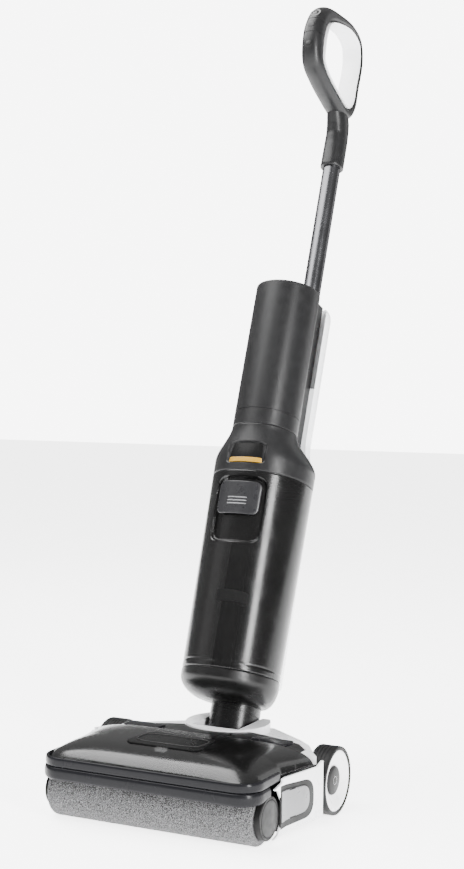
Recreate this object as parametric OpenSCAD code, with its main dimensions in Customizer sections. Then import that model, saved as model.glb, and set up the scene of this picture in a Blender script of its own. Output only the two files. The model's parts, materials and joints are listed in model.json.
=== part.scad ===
// Upright cordless wet and dry floor washer.
// Z is up, the roller end points along -Y, X is the width.
// The stick leans back on its tilt hinge; everything above that hinge is drawn
// upright in the body frame (x across, y to the rear, z along the stick) and
// placed by in_body().

/* [Floor head] */
// Length of the roller fabric
roller_len = 280; // [220:1:340]
// Outer diameter of the roller fabric
roller_d = 68; // [56:1:80]
// Thickness of the roller pile
pile_t = 7; // [4:0.5:10]
// Running gap round the roller
roller_gap = 3; // [2:0.5:6]
// Height of the roller cover above the floor
cover_h = 100; // [96:1:112]
// Distance from the roller axis to the wheel axle
wheel_base = 160; // [150:1:190]
// Diameter of each rear wheel
wheel_d = 86; // [76:1:92]
// Width of each rear tyre
tyre_w = 27; // [20:1:32]
// How far the wheels' outer faces stand beyond the head's sides
wheel_proud = 20; // [16:1:30]
// Wall of the head mouldings
head_wall = 3; // [2:0.5:4]
// Clearance of the head above the floor
ground_gap = 6; // [4:0.5:12]
// Thickness of the steel weight plate
weight_t = 5; // [3:0.5:6]

/* [Neck] */
// Diameter of the neck
neck_d = 67; // [56:1:72]
// Height of the tilt hinge above the floor
pivot_h = 45; // [42:1:52]
// Distance from the wheel axle back to the tilt hinge
pivot_back = 25; // [22:1:34]
// Lean of the stick from vertical at rest
lean = 20.3; // [5:0.1:40]
// Slope of the swivel seam across the neck
seam_slope = 11; // [0:1:18]

/* [Body] */
// Diameter of the upper motor housing
housing_d = 90; // [80:1:96]
// Diameter of the lower body at the tank seam
tank_d = 139; // [126:1:146]
// Diameter of the lower body at its foot
tank_foot_d = 131; // [120:1:138]
// Height along the stick of the foot of the tanks
tank_z0 = 105; // [98:1:112]
// Height along the stick of the dirty tank's top seam
tank_z1 = 369; // [330:1:376]
// Height along the stick of the top of the shoulder
shoulder_z = 436; // [424:1:450]
// Height along the stick of the top of the body
body_z = 646; // [600:1:680]
// Wall of the shells
wall = 2; // [1.6:0.1:3]
// Distance from the hinge line back to the rear of the clean tank
rear_depth = 54; // [50:1:60]

/* [Stick and handle] */
// Outer diameter of the stick tube
tube_d = 26; // [22:1:28]
// Depth of the stick in its socket
tube_seat = 110; // [60:1:120]
// Top end of the stick tube
tube_z = 900; // [840:1:925]
// Diameter of the handle stem
stem_d = 34.6; // [32:0.1:38]
// Half width of the handle loop
loop_hw = 15.5; // [13:0.5:18]
// Wall of the handle shells
loop_wall = 2.4; // [1.8:0.1:3.5]

/* [Fits] */
// Gap between pieces that lift apart
lift_gap = 0.5; // [0.4:0.1:1]
// Radial running clearance of shafts
run = 0.05; // [0.02:0.01:0.1]
// Side clearance of moving buttons
slip = 0.3; // [0.2:0.05:0.5]

/* [Hidden] */
$fn = 64;
EPS = 0.01;
// Places of the head: y runs back from the roller axis, moved so that the
// whole object is centred on the origin
roller_r = roller_d / 2;
wheel_r = wheel_d / 2;
pivot_y = wheel_base + pivot_back;
neck_r = neck_d / 2;
drum_r = neck_r + 5;
drum_w = 66;
swivel_z = 56;
neck_top = 69;
body_front_y = -44;
handle_back_y = pivot_y + 1084 * sin(lean) + 41 * cos(lean);
shift_y = -(body_front_y + handle_back_y) / 2;

// Head outline
end_x = roller_len / 2 + 8;
wheel_out = end_x + wheel_proud;
fender_x = wheel_out - 4;
fender_y = wheel_base - wheel_r - 1.5;
well_x = wheel_out - tyre_w - 4;
deck_z = 74;
chamber_r = roller_r + roller_gap;
chamber_y = chamber_r + 4;
tail_y = pivot_y + 38;
cap_r = 26;
band_z0 = 70;
bumper_z0 = 54.5;
screw_x = 90;
screw_ys = [60, 140];
screw_r = 2.2;

// Body outline: centres of the round sections behind the neck axis
housing_r = housing_d / 2;
housing_c = -51.5;
tank_r = tank_d / 2;
tank_foot_r = tank_foot_d / 2;
tank_c = -31.5;
frame_d0 = 4.5;
frame_d1 = 8;
clean_d0 = frame_d1 + lift_gap;
clean_hw = 35.5;
tube_r = tube_d / 2;
tube_c = rear_depth - 32;
sleeve_r = tube_r + 3.5;
channel_r = sleeve_r + lift_gap;
flare_z0 = tank_z1 + 20;
filler_y = (tube_c + channel_r + rear_depth - 4) / 2;
filler_r = 3.8;
stem_r = stem_d / 2;
stem_z1 = 955.5;

// Handle loop: [rear offset, height, half thickness] on the middle of the grip
loop_pts = [
    [-106, 1012, 15.5], [-106, 1040, 15], [-92, 1067, 13], [-50, 1086, 9],
    [-10, 1096, 7.5], [22, 1091, 7.5], [37, 1064, 7.5], [37, 1022, 7.5],
    [36, 988, 8.5], [18, 968, 10], [-28, 970, 9.5], [-70, 977, 10],
    [-96, 988, 13]
];
loop_steps = 5;
loop_n = len(loop_pts);
insert_t = 2;

// Colours of the plastics
C_DARK = "#4a4b4d";
C_BLACK = "#1d1d1f";
C_WHITE = "#ecedef";
C_SMOKE = "#5c5a58";
C_STEEL = "#b9bcc0";
C_RUBBER = "#242424";
C_FABRIC = "#9a9a9c";
C_BOARD = "#2f6b45";

// Frames
module in_head() {
    translate([0, shift_y, 0]) children();
}
module in_body() {
    translate([0, shift_y + pivot_y, pivot_h]) rotate([-lean, 0, 0]) children();
}

// A solid skinned over rings of equal length; closed joins the last ring to
// the first, strip caps the ends of a thin bent wall, otherwise the ends are
// flat
module skin(rings, closed = false, strip = false) {
    n = len(rings[0]);
    m = len(rings);
    last = closed ? m - 1 : m - 2;
    sides = [
        for (j = [0:last], i = [0:n - 1])
            let (a = j * n, b = ((j + 1) % m) * n, k = (i + 1) % n)
                each [[a + i, b + i, b + k], [a + i, b + k, a + k]]
    ];
    e = (m - 1) * n;
    caps = closed ? []
        : strip ? [
            for (i = [0:n / 2 - 2]) let (a = n - 1 - i, b = n - 2 - i)
                each [[i, i + 1, b], [i, b, a], [e + i, e + b, e + i + 1], [e + i, e + a, e + b]]
        ]
        : [[for (i = [0:n - 1]) i], [for (i = [n - 1:-1:0]) e + i]];
    polyhedron(points = [for (r = rings) each r], faces = concat(caps, sides));
}

function smooth(u) = let (v = min(1, max(0, u))) v * v * (3 - 2 * v);
function mix(a, b, u) = a + (b - a) * u;
function arc(cx, cy, r, a0, a1, n) = [
    for (i = [0:n]) let (a = a0 + (a1 - a0) * i / n) [cx + r * cos(a), cy + r * sin(a)]
];

// Lower body section: a circle about (0, c) cut flat at the frame
function body_ring(z, r, c, back) = [
    for (i = [0:71]) let (a = i * 5) [r * sin(a), min(c - r * cos(a), back), z]
];
// Radius and centre of the body's outside at height z
function body_r(z) =
    z >= shoulder_z ? housing_r
    : z >= flare_z0 ? mix(tank_r, housing_r, smooth((z - flare_z0) / (shoulder_z - flare_z0)))
    : mix(tank_foot_r, tank_r, (z - tank_z0) / (flare_z0 - tank_z0));
function body_c(z) =
    z >= shoulder_z ? housing_c
    : mix(tank_c, housing_c, smooth((z - flare_z0) / (shoulder_z - flare_z0)));

// Clean tank section: flat front at d0 with a channel, rounded back
function clean_half(z) =
    mix(tank_foot_r - 15, clean_hw, smooth((z - flare_z0 + 20) / (shoulder_z - flare_z0 + 30)));
function clean_back(z, inset, a) =
    let (
        hw = clean_half(z) - inset,
        d0 = clean_d0 + inset,
        dep = rear_depth - clean_d0 - 2 * inset
    )
    [hw * sign(cos(a)) * pow(abs(cos(a)), 0.75), d0 + dep * pow(abs(sin(a)), 0.8), z];
function clean_ring(z, inset, k, cut = 0) =
    let (cr = channel_r + inset - cut, d0 = clean_d0 + inset, floor_y = k ? tube_c : d0 + 0.5)
    concat(
        [for (a = [90:7.5:180]) clean_back(z, inset, a)],
        [[-cr, d0, z]],
        [for (i = [0:12]) let (a = 180 - i * 15) [
            cr * cos(a),
            k ? floor_y + cr * sin(a) : d0 + 0.5 + 0.5 * sin(a), z
        ]],
        [[cr, d0, z]],
        [for (a = [0:7.5:82.5]) clean_back(z, inset, a)]
    );

// Head plan outline, inset by w
module head_plan(w = 0) {
    offset(delta = -w) polygon([
        [-end_x, chamber_y], [-fender_x + 4, fender_y - 6], [-well_x, fender_y - 6],
        [-well_x, wheel_base - 10], [-well_x + 25, wheel_base + 20],
        [-drum_w / 2 - 20, tail_y - 6], [-drum_w / 2 - 8, tail_y],
        [drum_w / 2 + 8, tail_y], [drum_w / 2 + 20, tail_y - 6],
        [well_x - 25, wheel_base + 20], [well_x, wheel_base - 10],
        [well_x, fender_y - 6], [fender_x - 4, fender_y - 6], [end_x, chamber_y]
    ]);
}
// Space swept by the neck as it tilts
module neck_sweep(gap) {
    hw = drum_w / 2 + gap;
    translate([-hw, pivot_y, pivot_h]) rotate([90, 0, 90])
        linear_extrude(2 * hw) union() {
            circle(r = drum_r + gap);
            polygon([[-drum_r - gap, 0], [-neck_r - 3 - gap, 70], [140, 70], [140, -60]]);
        }
}
module along_x(x0, x1, r) {
    translate([x0, 0, 0]) rotate([0, 90, 0]) cylinder(r = r, h = x1 - x0);
}

// ---- Floor head ----
module head_chassis() {
    color(C_DARK) in_head() difference() {
        translate([0, 0, ground_gap + 3]) linear_extrude(deck_z - ground_gap - 3) head_plan();
        translate([0, 0, ground_gap + 3 + head_wall]) linear_extrude(deck_z)
            difference() {
                head_plan(head_wall);
                for (s = [-1, 1]) translate([s * (drum_w / 2 + 6), pivot_y + 3])
                    square([8, 74], center = true);
            }
        neck_sweep(1);
        translate([0, pivot_y, pivot_h]) along_x(-end_x, end_x, 6 + run);
        for (s = [-1, 1]) translate([0, wheel_base, wheel_r])
            along_x(min(s * 40, s * end_x), max(s * 40, s * end_x), 5);
        translate([-14, chamber_y - 5, 30]) cube([28, 20, 14]);
        translate([-end_x - 1, 0, 0]) rotate([90, 0, 90]) linear_extrude(head_wall + 5) belt_outline(9 + slip);
        for (s = [-1, 1], y = screw_ys) translate([s * screw_x, y, 0]) cylinder(r = screw_r, h = 30);
    }
}
module sole_plate() {
    color(C_BLACK) in_head() difference() {
        union() {
            translate([0, 0, ground_gap]) linear_extrude(3) difference() {
                head_plan(1);
                translate([-drum_w / 2 - 1, pivot_y - drum_r - 1]) square([drum_w + 2, 90]);
            }
            for (s = [-1, 1]) translate([s * 43, tail_y - 9, 0]) cylinder(r1 = 5, r2 = 7, h = ground_gap + 1);
        }
        for (s = [-1, 1], y = screw_ys) translate([s * screw_x, y, 0]) cylinder(r = screw_r, h = 20);
        for (s = [-1, 1]) translate([s * 12, wheel_base - 35, 0]) cylinder(r = 3.2, h = 20);
    }
}
// Band that follows the side of the head, off the chassis by off, t thick
module side_band(s, off, t) {
    x0 = end_x + off;
    x1 = fender_x + off;
    mirror([s > 0 ? 0 : 1, 0, 0]) linear_extrude(200) polygon([
        [x0, -60], [x0, chamber_y], [x1, fender_y + 2],
        [x1 + t, fender_y + 2], [x0 + t, chamber_y], [x0 + t, -60]
    ]);
}
// Side view outline pushed across the whole width
module across() {
    translate([-250, 0, 0]) rotate([90, 0, 90]) linear_extrude(500) children();
}
module lever_outline(grow) {
    hull() {
        translate([0, roller_r]) circle(r = 15 + grow);
        translate([64, roller_r + 6]) circle(r = 14 + grow);
    }
}
module side_panel(s) {
    color(C_WHITE) in_head() intersection() {
        side_band(s, 0, head_wall);
        across() difference() {
            polygon([
                [2, ground_gap], [fender_y, ground_gap + 4],
                [fender_y, deck_z + 6], [fender_y - 11, deck_z - 0.5],
                [32, deck_z - 0.5], [32, band_z0 - 0.5], [8, deck_z - 9]
            ]);
            translate([0, roller_r]) circle(r = roller_r + 0.6);
            if (s > 0) lever_outline(9);
        }
    }
}
module side_panel_left() side_panel(-1);
module side_panel_right() side_panel(1);

// Dark bridge behind the cover, with cut corners
bridge_hw = well_x - 2;
bridge_y = wheel_base - 7;
bridge_top = cover_h - 6;
module bridge_plan(w) {
    difference() {
        polygon([
            [-bridge_hw + w, 104 + w], [-bridge_hw + w, bridge_y - 18], [-bridge_hw + 18, bridge_y - w],
            [bridge_hw - 18, bridge_y - w], [bridge_hw - w, bridge_y - 18], [bridge_hw - w, 104 + w]
        ]);
        translate([0, pivot_y]) circle(r = 57 + w);
    }
}
module crown(top) {
    translate([0, 0, top - 765]) rotate([-90, 0, 0]) cylinder(r = 765, h = 400, $fn = 240);
}
module top_bridge() {
    color(C_BLACK) in_head() difference() {
        intersection() {
            translate([0, 0, deck_z]) linear_extrude(bridge_top - deck_z) bridge_plan(0);
            crown(bridge_top);
        }
        intersection() {
            translate([0, 0, deck_z - 1]) linear_extrude(bridge_top - deck_z - 2) bridge_plan(3);
            crown(bridge_top - 3);
        }
    }
}
// White rear shell: the ring round the neck and the rim running to the wheels
module rear_outline() {
    polygon([
        [-fender_x + 4, fender_y - 6], [-fender_x + 14, fender_y + 8], [-fender_x + 34, wheel_base - 4],
        [-fender_x + 57, wheel_base + 18], [-drum_w / 2 - 18, tail_y - 4], [drum_w / 2 + 18, tail_y - 4],
        [fender_x - 57, wheel_base + 18], [fender_x - 34, wheel_base - 4], [fender_x - 14, fender_y + 8],
        [fender_x - 4, fender_y - 6]
    ]);
}
module neck_ring() {
    color(C_WHITE) in_head() difference() {
        union() {
            translate([0, 0, deck_z]) linear_extrude(bridge_top - deck_z + 1) intersection() {
                translate([0, pivot_y]) circle(r = 56);
                rear_outline();
            }
            translate([0, 0, deck_z]) linear_extrude(10) difference() {
                rear_outline();
                bridge_plan(-0.1);
            }
        }
        translate([0, 0, deck_z - 1]) linear_extrude(9) offset(delta = -3) rear_outline();
        neck_sweep(1);
        for (s = [-1, 1]) translate([0, wheel_base, wheel_r])
            along_x(min(s * well_x, s * 200), max(s * well_x, s * 200), wheel_r + 3);
    }
}

// Clear cover: half width, front to rear profile and crown across the width
cover_y0 = -38;
cover_y1 = 102;
function cover_hw(y) =
    end_x - 2 + (fender_x - end_x) * max(0, y - chamber_y) / (fender_y - chamber_y)
        + sqrt(1 - pow(max(0, cover_y0 + 30 - y) / 30, 2)) * 30 - 30;
function cover_g(v) = v < 0 ? sqrt(1 - pow(-v, 2.6)) : 1 - 0.14 * v * v;
function cover_f(u) = max(0.12, sqrt(1 - pow(abs(u), 5)));
module roller_cover() {
    t = 2.2;
    mid = (cover_y0 + cover_y1) / 2;
    half = (cover_y1 - cover_y0) / 2;
    high = cover_h - deck_z;
    color(C_SMOKE, 0.45) in_head() skin([
        for (a = [90:-7.5:-90]) let (u = sin(a)) concat(
            [for (b = [0:9:180]) let (v = -cos(b), y = mid + half * v)
                [u * cover_hw(y), y, deck_z + high * cover_f(u) * cover_g(v)]],
            [for (b = [180:-9:0]) let (v = -cos(b), y = mid + t / 2 + (half - t / 2) * v)
                [u * (cover_hw(y) - t), y, deck_z + (high * cover_f(u) - t) * cover_g(v)]]
        )
    ], strip = true);
}
module front_band(out, t, back) {
    difference() {
        offset(r = 30) offset(delta = -30)
            polygon([[-out, body_front_y], [out, body_front_y], [out, 60], [-out, 60]]);
        offset(r = 30 - t) offset(delta = t - 30)
            polygon([[t - out, body_front_y + t], [out - t, body_front_y + t], [out - t, 80], [t - out, 80]]);
        translate([-200, back]) square([400, 100]);
    }
}
module front_bumper() {
    color(C_RUBBER) in_head() difference() {
        translate([0, 0, bumper_z0])
            linear_extrude(band_z0 - bumper_z0 - 0.2) front_band(end_x + 1, 4, 4);
        translate([0, 0, roller_r]) along_x(-200, 200, roller_r + lift_gap);
    }
}
module cover_band() {
    color(C_DARK) in_head() translate([0, 0, band_z0])
        linear_extrude(12) intersection() {
            front_band(end_x + 1, 2.8, 30);
            translate([-200, body_front_y + 1]) square([400, 100]);
        }
}
module cover_window() {
    mid = (cover_y0 + cover_y1) / 2;
    half = (cover_y1 - cover_y0) / 2;
    color(C_BLACK) in_head() skin([
        for (p = [[6, 44], [10, 50], [14, 52], [27, 50], [40, 48], [53, 46], [63, 44], [66, 42]])
            let (z = deck_z + (cover_h - deck_z) * cover_g((p[0] - mid) / half) + 0.15)
                [[-p[1], p[0], z], [-p[1], p[0], z + 1.2], [p[1], p[0], z + 1.2], [p[1], p[0], z]]
    ]);
}
module scraper_blade() {
    color(C_RUBBER) in_head() translate([-roller_len / 2 + 2, roller_r + 1.6, 40])
        cube([roller_len - 4, chamber_y - roller_r - 1.6, 6]);
}
module spray_bar() {
    color(C_BLACK) in_head() difference() {
        union() {
            translate([0, 24, 68]) along_x(-120, 120, 3.5);
            for (x = [-100:50:100]) {
                translate([x - 4, 24, 67]) cube([8, chamber_y - 24, 3]);
                translate([x, 24, 63.5]) cylinder(r1 = 1.2, r2 = 2.4, h = 3);
            }
        }
        translate([0, 24, 68]) along_x(-118, 118, 2);
    }
}
module weight_plate() {
    color(C_STEEL) in_head() difference() {
        translate([-118, chamber_y + 8, ground_gap + 3 + head_wall])
            cube([236, wheel_base - 46 - chamber_y, weight_t]);
        for (s = [-1, 1], y = screw_ys) translate([s * screw_x, y, 0]) cylinder(r = 5, h = 30);
    }
}
motor_y = 72;
motor_z = 46;
motor_shaft_r = 2.5;
module drive_motor() {
    color(C_STEEL) in_head() translate([0, motor_y, motor_z]) union() {
        along_x(-104, -24, 19);
        along_x(-108, -104, 8);
        along_x(-end_x + 2.6, -108, motor_shaft_r);
    }
}
module motor_pulley() {
    color(C_BLACK) in_head() translate([0, motor_y, motor_z]) difference() {
        along_x(-end_x + 2.2, -end_x + 6.4, 7);
        along_x(-end_x + 2, -end_x + 7, motor_shaft_r + run);
    }
}
module drive_belt() {
    color(C_RUBBER) in_head() translate([-end_x + 2.4, 0, 0]) rotate([90, 0, 90])
        linear_extrude(3.8) difference() {
            belt_outline(2);
            belt_outline(0.1);
        }
}
module belt_outline(grow) {
    hull() {
        translate([0, roller_r]) circle(r = 14 + grow);
        translate([motor_y, motor_z]) circle(r = 7 + grow);
    }
}
module drive_dog() {
    color(C_BLACK) in_head() translate([0, 0, roller_r]) union() {
        along_x(-end_x + 2.2, -end_x + 6.4, 14);
        along_x(-end_x + 0.2, -end_x + 2.2, 4);
        along_x(-end_x + 6.4, -end_x + 10, 8);
        translate([-end_x + 10, 0, 0]) rotate([0, 90, 0]) cylinder(r = 9, h = 12, $fn = 6);
    }
}
module belt_cover() {
    color(C_BLACK) in_head() difference() {
        translate([-end_x, 0, 0]) rotate([90, 0, 90]) linear_extrude(1.7) belt_outline(9);
        translate([0, 0, roller_r]) along_x(-end_x - 1, -end_x + 3, 4 + run);
    }
}
core_r = roller_r - pile_t;
module roller_core() {
    color(C_STEEL) in_head() translate([0, 0, roller_r]) difference() {
        along_x(-roller_len / 2 + 1, roller_len / 2 - 1, core_r);
        along_x(-roller_len / 2 + 20, roller_len / 2 - 20, core_r - 3);
        along_x(roller_len / 2 - 22, roller_len / 2, 5 + run);
        translate([-roller_len / 2, 0, 0]) rotate([0, 90, 0]) cylinder(r = 9.3, h = 30, $fn = 6);
        along_x(-roller_len / 2, -roller_len / 2 + 2.5, 10);
    }
}
module roller_fabric() {
    color(C_FABRIC) in_head() translate([0, 0, roller_r]) difference() {
        along_x(-roller_len / 2, roller_len / 2, roller_r);
        along_x(-roller_len, roller_len, core_r);
    }
}
module roller_end_cap() {
    color("#a9abae") in_head() union() {
        translate([0, 0, roller_r]) along_x(roller_len / 2 + 1.2, end_x + 1, cap_r);
        translate([0, 0, roller_r]) along_x(roller_len / 2 - 20, roller_len / 2 + 1.2, 5);
        intersection() {
            side_band(1, 0.4, 4);
            across() lever_outline(0);
        }
    }
}

module head_pins() {
    color(C_STEEL) in_head() for (s = [-1, 1]) {
        translate([0, wheel_base, wheel_r]) along_x(min(s * 45, s * (wheel_out - 4)), max(s * 45, s * (wheel_out - 4)), 5);
        translate([0, pivot_y, pivot_h]) along_x(min(s * 18, s * 43), max(s * 18, s * 43), 6);
    }
}
module tyre(s) {
    color(C_RUBBER) in_head() translate([0, wheel_base, wheel_r]) rotate([0, s * 90, 0])
        translate([0, 0, wheel_out - tyre_w]) rotate_extrude()
            polygon([
                [wheel_r - 5, 0], [wheel_r - 2, 0], [wheel_r - 0.6, 0.6], [wheel_r, 2], [wheel_r, tyre_w - 2],
                [wheel_r - 0.6, tyre_w - 0.6], [wheel_r - 2, tyre_w], [wheel_r - 5, tyre_w]
            ]);
}
module rim(s) {
    in_r = wheel_r - 5;
    color(C_WHITE) in_head() translate([0, wheel_base, wheel_r]) rotate([0, s * 90, 0])
        translate([0, 0, wheel_out - tyre_w]) difference() {
            cylinder(r = in_r, h = tyre_w - 1);
            translate([0, 0, tyre_w - 5]) cylinder(r = in_r - 6, h = 10);
            translate([0, 0, -1]) difference() {
                cylinder(r = in_r - 4, h = tyre_w - 8);
                cylinder(r = 11, h = tyre_w);
            }
            translate([0, 0, -1]) cylinder(r = 5 + run, h = tyre_w - 2);
        }
}
module tyre_left() tyre(-1);
module tyre_right() tyre(1);
module rim_left() rim(-1);
module rim_right() rim(1);

module suction_duct() {
    y1 = pivot_y - drum_r - 2;
    color(C_BLACK) in_head() difference() {
        translate([-17, chamber_y + head_wall, 27]) cube([34, y1 - chamber_y - head_wall, 20]);
        translate([-15, 0, 29]) cube([30, 300, 16]);
    }
}
module sole_screws() {
    color(C_STEEL) in_head() for (s = [-1, 1], y = screw_ys) translate([s * screw_x, y, 0]) {
        translate([0, 0, ground_gap - 1.4]) cylinder(r = 4, h = 1.4);
        translate([0, 0, ground_gap]) cylinder(r = screw_r, h = 8);
    }
}
module charge_contacts() {
    color("#c8a24a") in_head() for (s = [-1, 1])
        translate([s * 12, wheel_base - 35, ground_gap - 0.3]) cylinder(r = 3.2, h = 3.3);
}

// ---- Neck ----
// Half space below (side -1) or above (side 1) the swivel seam
module seam_side(side, gap) {
    translate([0, 0, swivel_z]) rotate([-seam_slope, 0, 0])
        translate([-100, -100, side > 0 ? gap : -200]) cube([200, 200, 200]);
}
module swivel_tube(r, h0, h1) {
    translate([0, 0, swivel_z]) rotate([-seam_slope, 0, 0])
        translate([0, 0, h0]) cylinder(r = r, h = h1 - h0);
}
module neck_lower() {
    color(C_BLACK) in_body() difference() {
        union() {
            along_x(-drum_w / 2, drum_w / 2, drum_r);
            intersection() {
                cylinder(r = neck_r, h = 120);
                seam_side(-1, 0);
            }
        }
        swivel_tube(20, -30, 30);
        swivel_tube(15, -62, -29);
        rotate([90 + lean, 0, 0]) cylinder(r = 15, h = 60);
        along_x(-drum_w, -18, 6 + run);
        along_x(18, drum_w, 6 + run);
    }
}
module swivel_pin() {
    color(C_STEEL) in_body() difference() {
        swivel_tube(20, -20, 9);
        swivel_tube(16, -30, 30);
    }
}
module neck_upper() {
    color(C_BLACK) in_body() difference() {
        intersection() {
            cylinder(r = neck_r, h = neck_top);
            seam_side(1, 0.4);
        }
        swivel_tube(20 + run, -1, 30);
    }
}

// ---- Body ----
cap_zs = [neck_top, neck_top + 2, neck_top + 6, neck_top + 11, neck_top + 18, neck_top + 26];
function cap_u(z) = pow(sin(90 * min(1, (z - neck_top) / 27)), 0.55);
module base_cap() {
    w = 2.5;
    top = tank_z0 - lift_gap;
    color(C_BLACK) in_body() skin(concat(
        [body_ring(top - w, tank_foot_r - w, tank_c, frame_d1 - w)],
        [for (i = [5:-1:1]) let (z = cap_zs[i], u = cap_u(z))
            body_ring(z + 0.6, mix(neck_r, tank_foot_r, u) - w, tank_c * u, mix(neck_r, frame_d1, u) - w)],
        [body_ring(neck_top, 20, 0, 30)],
        [for (z = cap_zs) let (u = cap_u(z))
            body_ring(z, mix(neck_r, tank_foot_r, u), tank_c * u, mix(neck_r, frame_d1, u))],
        [body_ring(top, tank_foot_r, tank_c, frame_d1)]
    ));
}
module body_frame() {
    cup_z = body_z - tube_seat - 8;
    color(C_BLACK) in_body() difference() {
        union() {
            translate([0, frame_d1, 0]) rotate([90, 0, 0]) linear_extrude(frame_d1 - frame_d0)
                polygon([[-50, tank_z0], [50, tank_z0], [50, flare_z0 - 10], [29, shoulder_z], [29, body_z],
                    [-29, body_z], [-29, shoulder_z], [-50, flare_z0 - 10]]);
            translate([-29, -16, shoulder_z + 1]) cube([58, frame_d1 + 16, body_z - shoulder_z - 1]);
            translate([0, tube_c, cup_z]) cylinder(r = sleeve_r, h = body_z - cup_z);
            translate([-10, frame_d0, cup_z]) cube([20, 8, body_z - cup_z]);
        }
        translate([0, housing_c, 0]) cylinder(r = housing_r + 0.2, h = 1000);
        translate([-26, -13, shoulder_z + 4]) cube([52, frame_d1 + 10, body_z - shoulder_z - 7]);
        translate([0, tube_c, body_z - tube_seat]) cylinder(r = tube_r + run, h = 1000);
    }
}
module battery_pack() {
    color("#33507a") in_body() translate([-38, -58, neck_top + 12]) cube([76, 52, tank_z0 - neck_top - 16]);
}
module motor_housing() {
    z0 = shoulder_z + lift_gap;
    color(C_DARK) in_body() translate([0, housing_c, 0]) difference() {
        translate([0, 0, z0]) cylinder(r = housing_r, h = body_z - z0);
        translate([0, 0, z0 - 1]) cylinder(r = housing_r - wall, h = body_z - z0 - 3);
        translate([0, 0, shoulder_z + 22]) difference() {
            cylinder(r = housing_r + 1, h = 0.8);
            cylinder(r = housing_r - 0.6, h = 0.8);
        }
    }
}
module suction_motor() {
    color(C_STEEL) in_body() translate([0, housing_c, 0]) union() {
        translate([0, 0, shoulder_z + 30]) cylinder(r = 28, h = 36);
        translate([0, 0, shoulder_z + 66]) cylinder(r = 20, h = 24);
        translate([0, 0, shoulder_z + 27]) cylinder(r = housing_r - wall, h = 3);
    }
}
// Dish pressed into the front of a ring, for the display and the latch
function dish(x, z, hw, z0, z1, e) =
    let (h = (z1 - z0) / 2, u = abs(x) / hw, v = abs(z - (z0 + z1) / 2) / h)
    smooth((1 - pow(pow(u, 7) + pow(v, 7), 1 / 7)) * min(hw, h) / e);
function front_of(x, z) = let (r = body_r(z)) body_c(z) - sqrt(max(1, r * r - x * x));
function dished(ring, depth, hw, z0, z1) = [
    for (p = ring) p[1] < body_c(p[2]) ? [p[0], p[1] + depth * dish(p[0], p[2], hw, z0, z1, 2), p[2]] : p
];
disp_z0 = tank_z1 + 9;
disp_z1 = tank_z1 + 41;
disp_hw = 31;
module shoulder() {
    z0 = tank_z1 + lift_gap;
    zs = concat([z0, disp_z0, disp_z0 + 3], [for (i = [0:3]) mix(disp_z0 + 9, disp_z1 - 5, i / 3)],
        [disp_z1 - 2, disp_z1 + 1], [for (i = [1:4]) mix(disp_z1 + 1, shoulder_z, i / 4)]);
    n = len(zs);
    color(C_DARK) in_body() skin(concat(
        [for (z = zs) dished(body_ring(z, body_r(z), body_c(z), 4), 3, disp_hw, disp_z0, disp_z1)],
        [for (i = [n - 1:-1:0]) let (z = zs[i])
            dished(body_ring(z, body_r(z) - 2.5, body_c(z), 1.5), 3, disp_hw + 3, disp_z0 - 3, disp_z1 + 3)]
    ), closed = true);
}
// Thin plate with rounded corners lying in a dish, following the front
module front_plate(hw0, hw1, z0, z1, off, t, r = 3) {
    xs = [for (i = [0:12]) sin(i * 15 - 90)];
    skin([for (k = [0:10]) let (
        z = mix(z0, z1, (1 - cos(k * 18)) / 2),
        e = max(0, r - min(z - z0, z1 - z)),
        hw = mix(hw0, hw1, (z - z0) / (z1 - z0)) - r + sqrt(r * r - e * e)
    ) concat(
        [for (u = xs) [u * hw, front_of(u * hw, z) + off, z]],
        [for (i = [12:-1:0]) let (x = xs[i] * hw) [x, front_of(x, z) + off + t, z]]
    )], strip = true);
}
module display_lens() {
    color("#d8b51e") in_body() front_plate(24.5, 24.5, disp_z0 + 3, disp_z0 + 9, 0.5, 1.5, 1);
}
module display_glass() {
    color(C_BLACK) in_body() front_plate(24.5, 22, disp_z0 + 10, disp_z1 - 3, 0.6, 1.4);
}
module circuit_board() {
    color(C_BOARD) in_body() translate([-26, housing_c + 4, tank_z1 + 8]) cube([52, 1.6, 60]);
}

latch_z0 = tank_z1 - 99;
latch_z1 = tank_z1 - 8;
module dirty_tank() {
    top = tank_z1 - 4;
    zs = concat([tank_z0, tank_z0 + 3, tank_z0 + 110, latch_z0 - 2, latch_z0 + 1, latch_z0 + 4],
        [latch_z0 + 9, latch_z0 + 30, latch_z1 - 30, latch_z1 - 9, latch_z1 - 4, latch_z1 - 1, top]);
    n = len(zs);
    color(C_SMOKE, 0.6) in_body() skin(concat(
        [body_ring(tank_z0, body_r(tank_z0) - 3, tank_c, 1)],
        [for (i = [1:n - 1]) let (z = zs[i])
            dished(body_ring(z, body_r(z), tank_c, 4), 6, 37, latch_z0, latch_z1)],
        [for (i = [n - 1:-1:1]) let (z = zs[i])
            dished(body_ring(z, body_r(z) - wall, tank_c, 4 - wall), 6, 37 + wall, latch_z0 - wall, latch_z1 + wall)]
    ));
}
module tank_lid() {
    color(C_BLACK) in_body() difference() {
        union() {
            translate([0, 0, tank_z1 - 4]) linear_extrude(4) lid_plan(0.3);
            translate([0, 0, tank_z1 - 12]) linear_extrude(8) difference() {
                lid_plan(wall + 9);
                lid_plan(wall + 12);
            }
        }
        translate([0, -38, tank_z1 - 20]) cylinder(r = 22, h = 40);
    }
}
module lid_plan(w) {
    intersection() {
        translate([0, tank_c]) circle(r = tank_r - 0.5 - w);
        translate([-100, -200]) square([200, 204 - w]);
    }
}
module tank_filter() {
    color("#cfd2d4") in_body() translate([0, -38, tank_z1 - 22]) difference() {
        cylinder(r = 22 - 0.1, h = 22);
        translate([0, 0, 3]) cylinder(r = 12, h = 30);
    }
}
pipe_y = -54;
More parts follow.
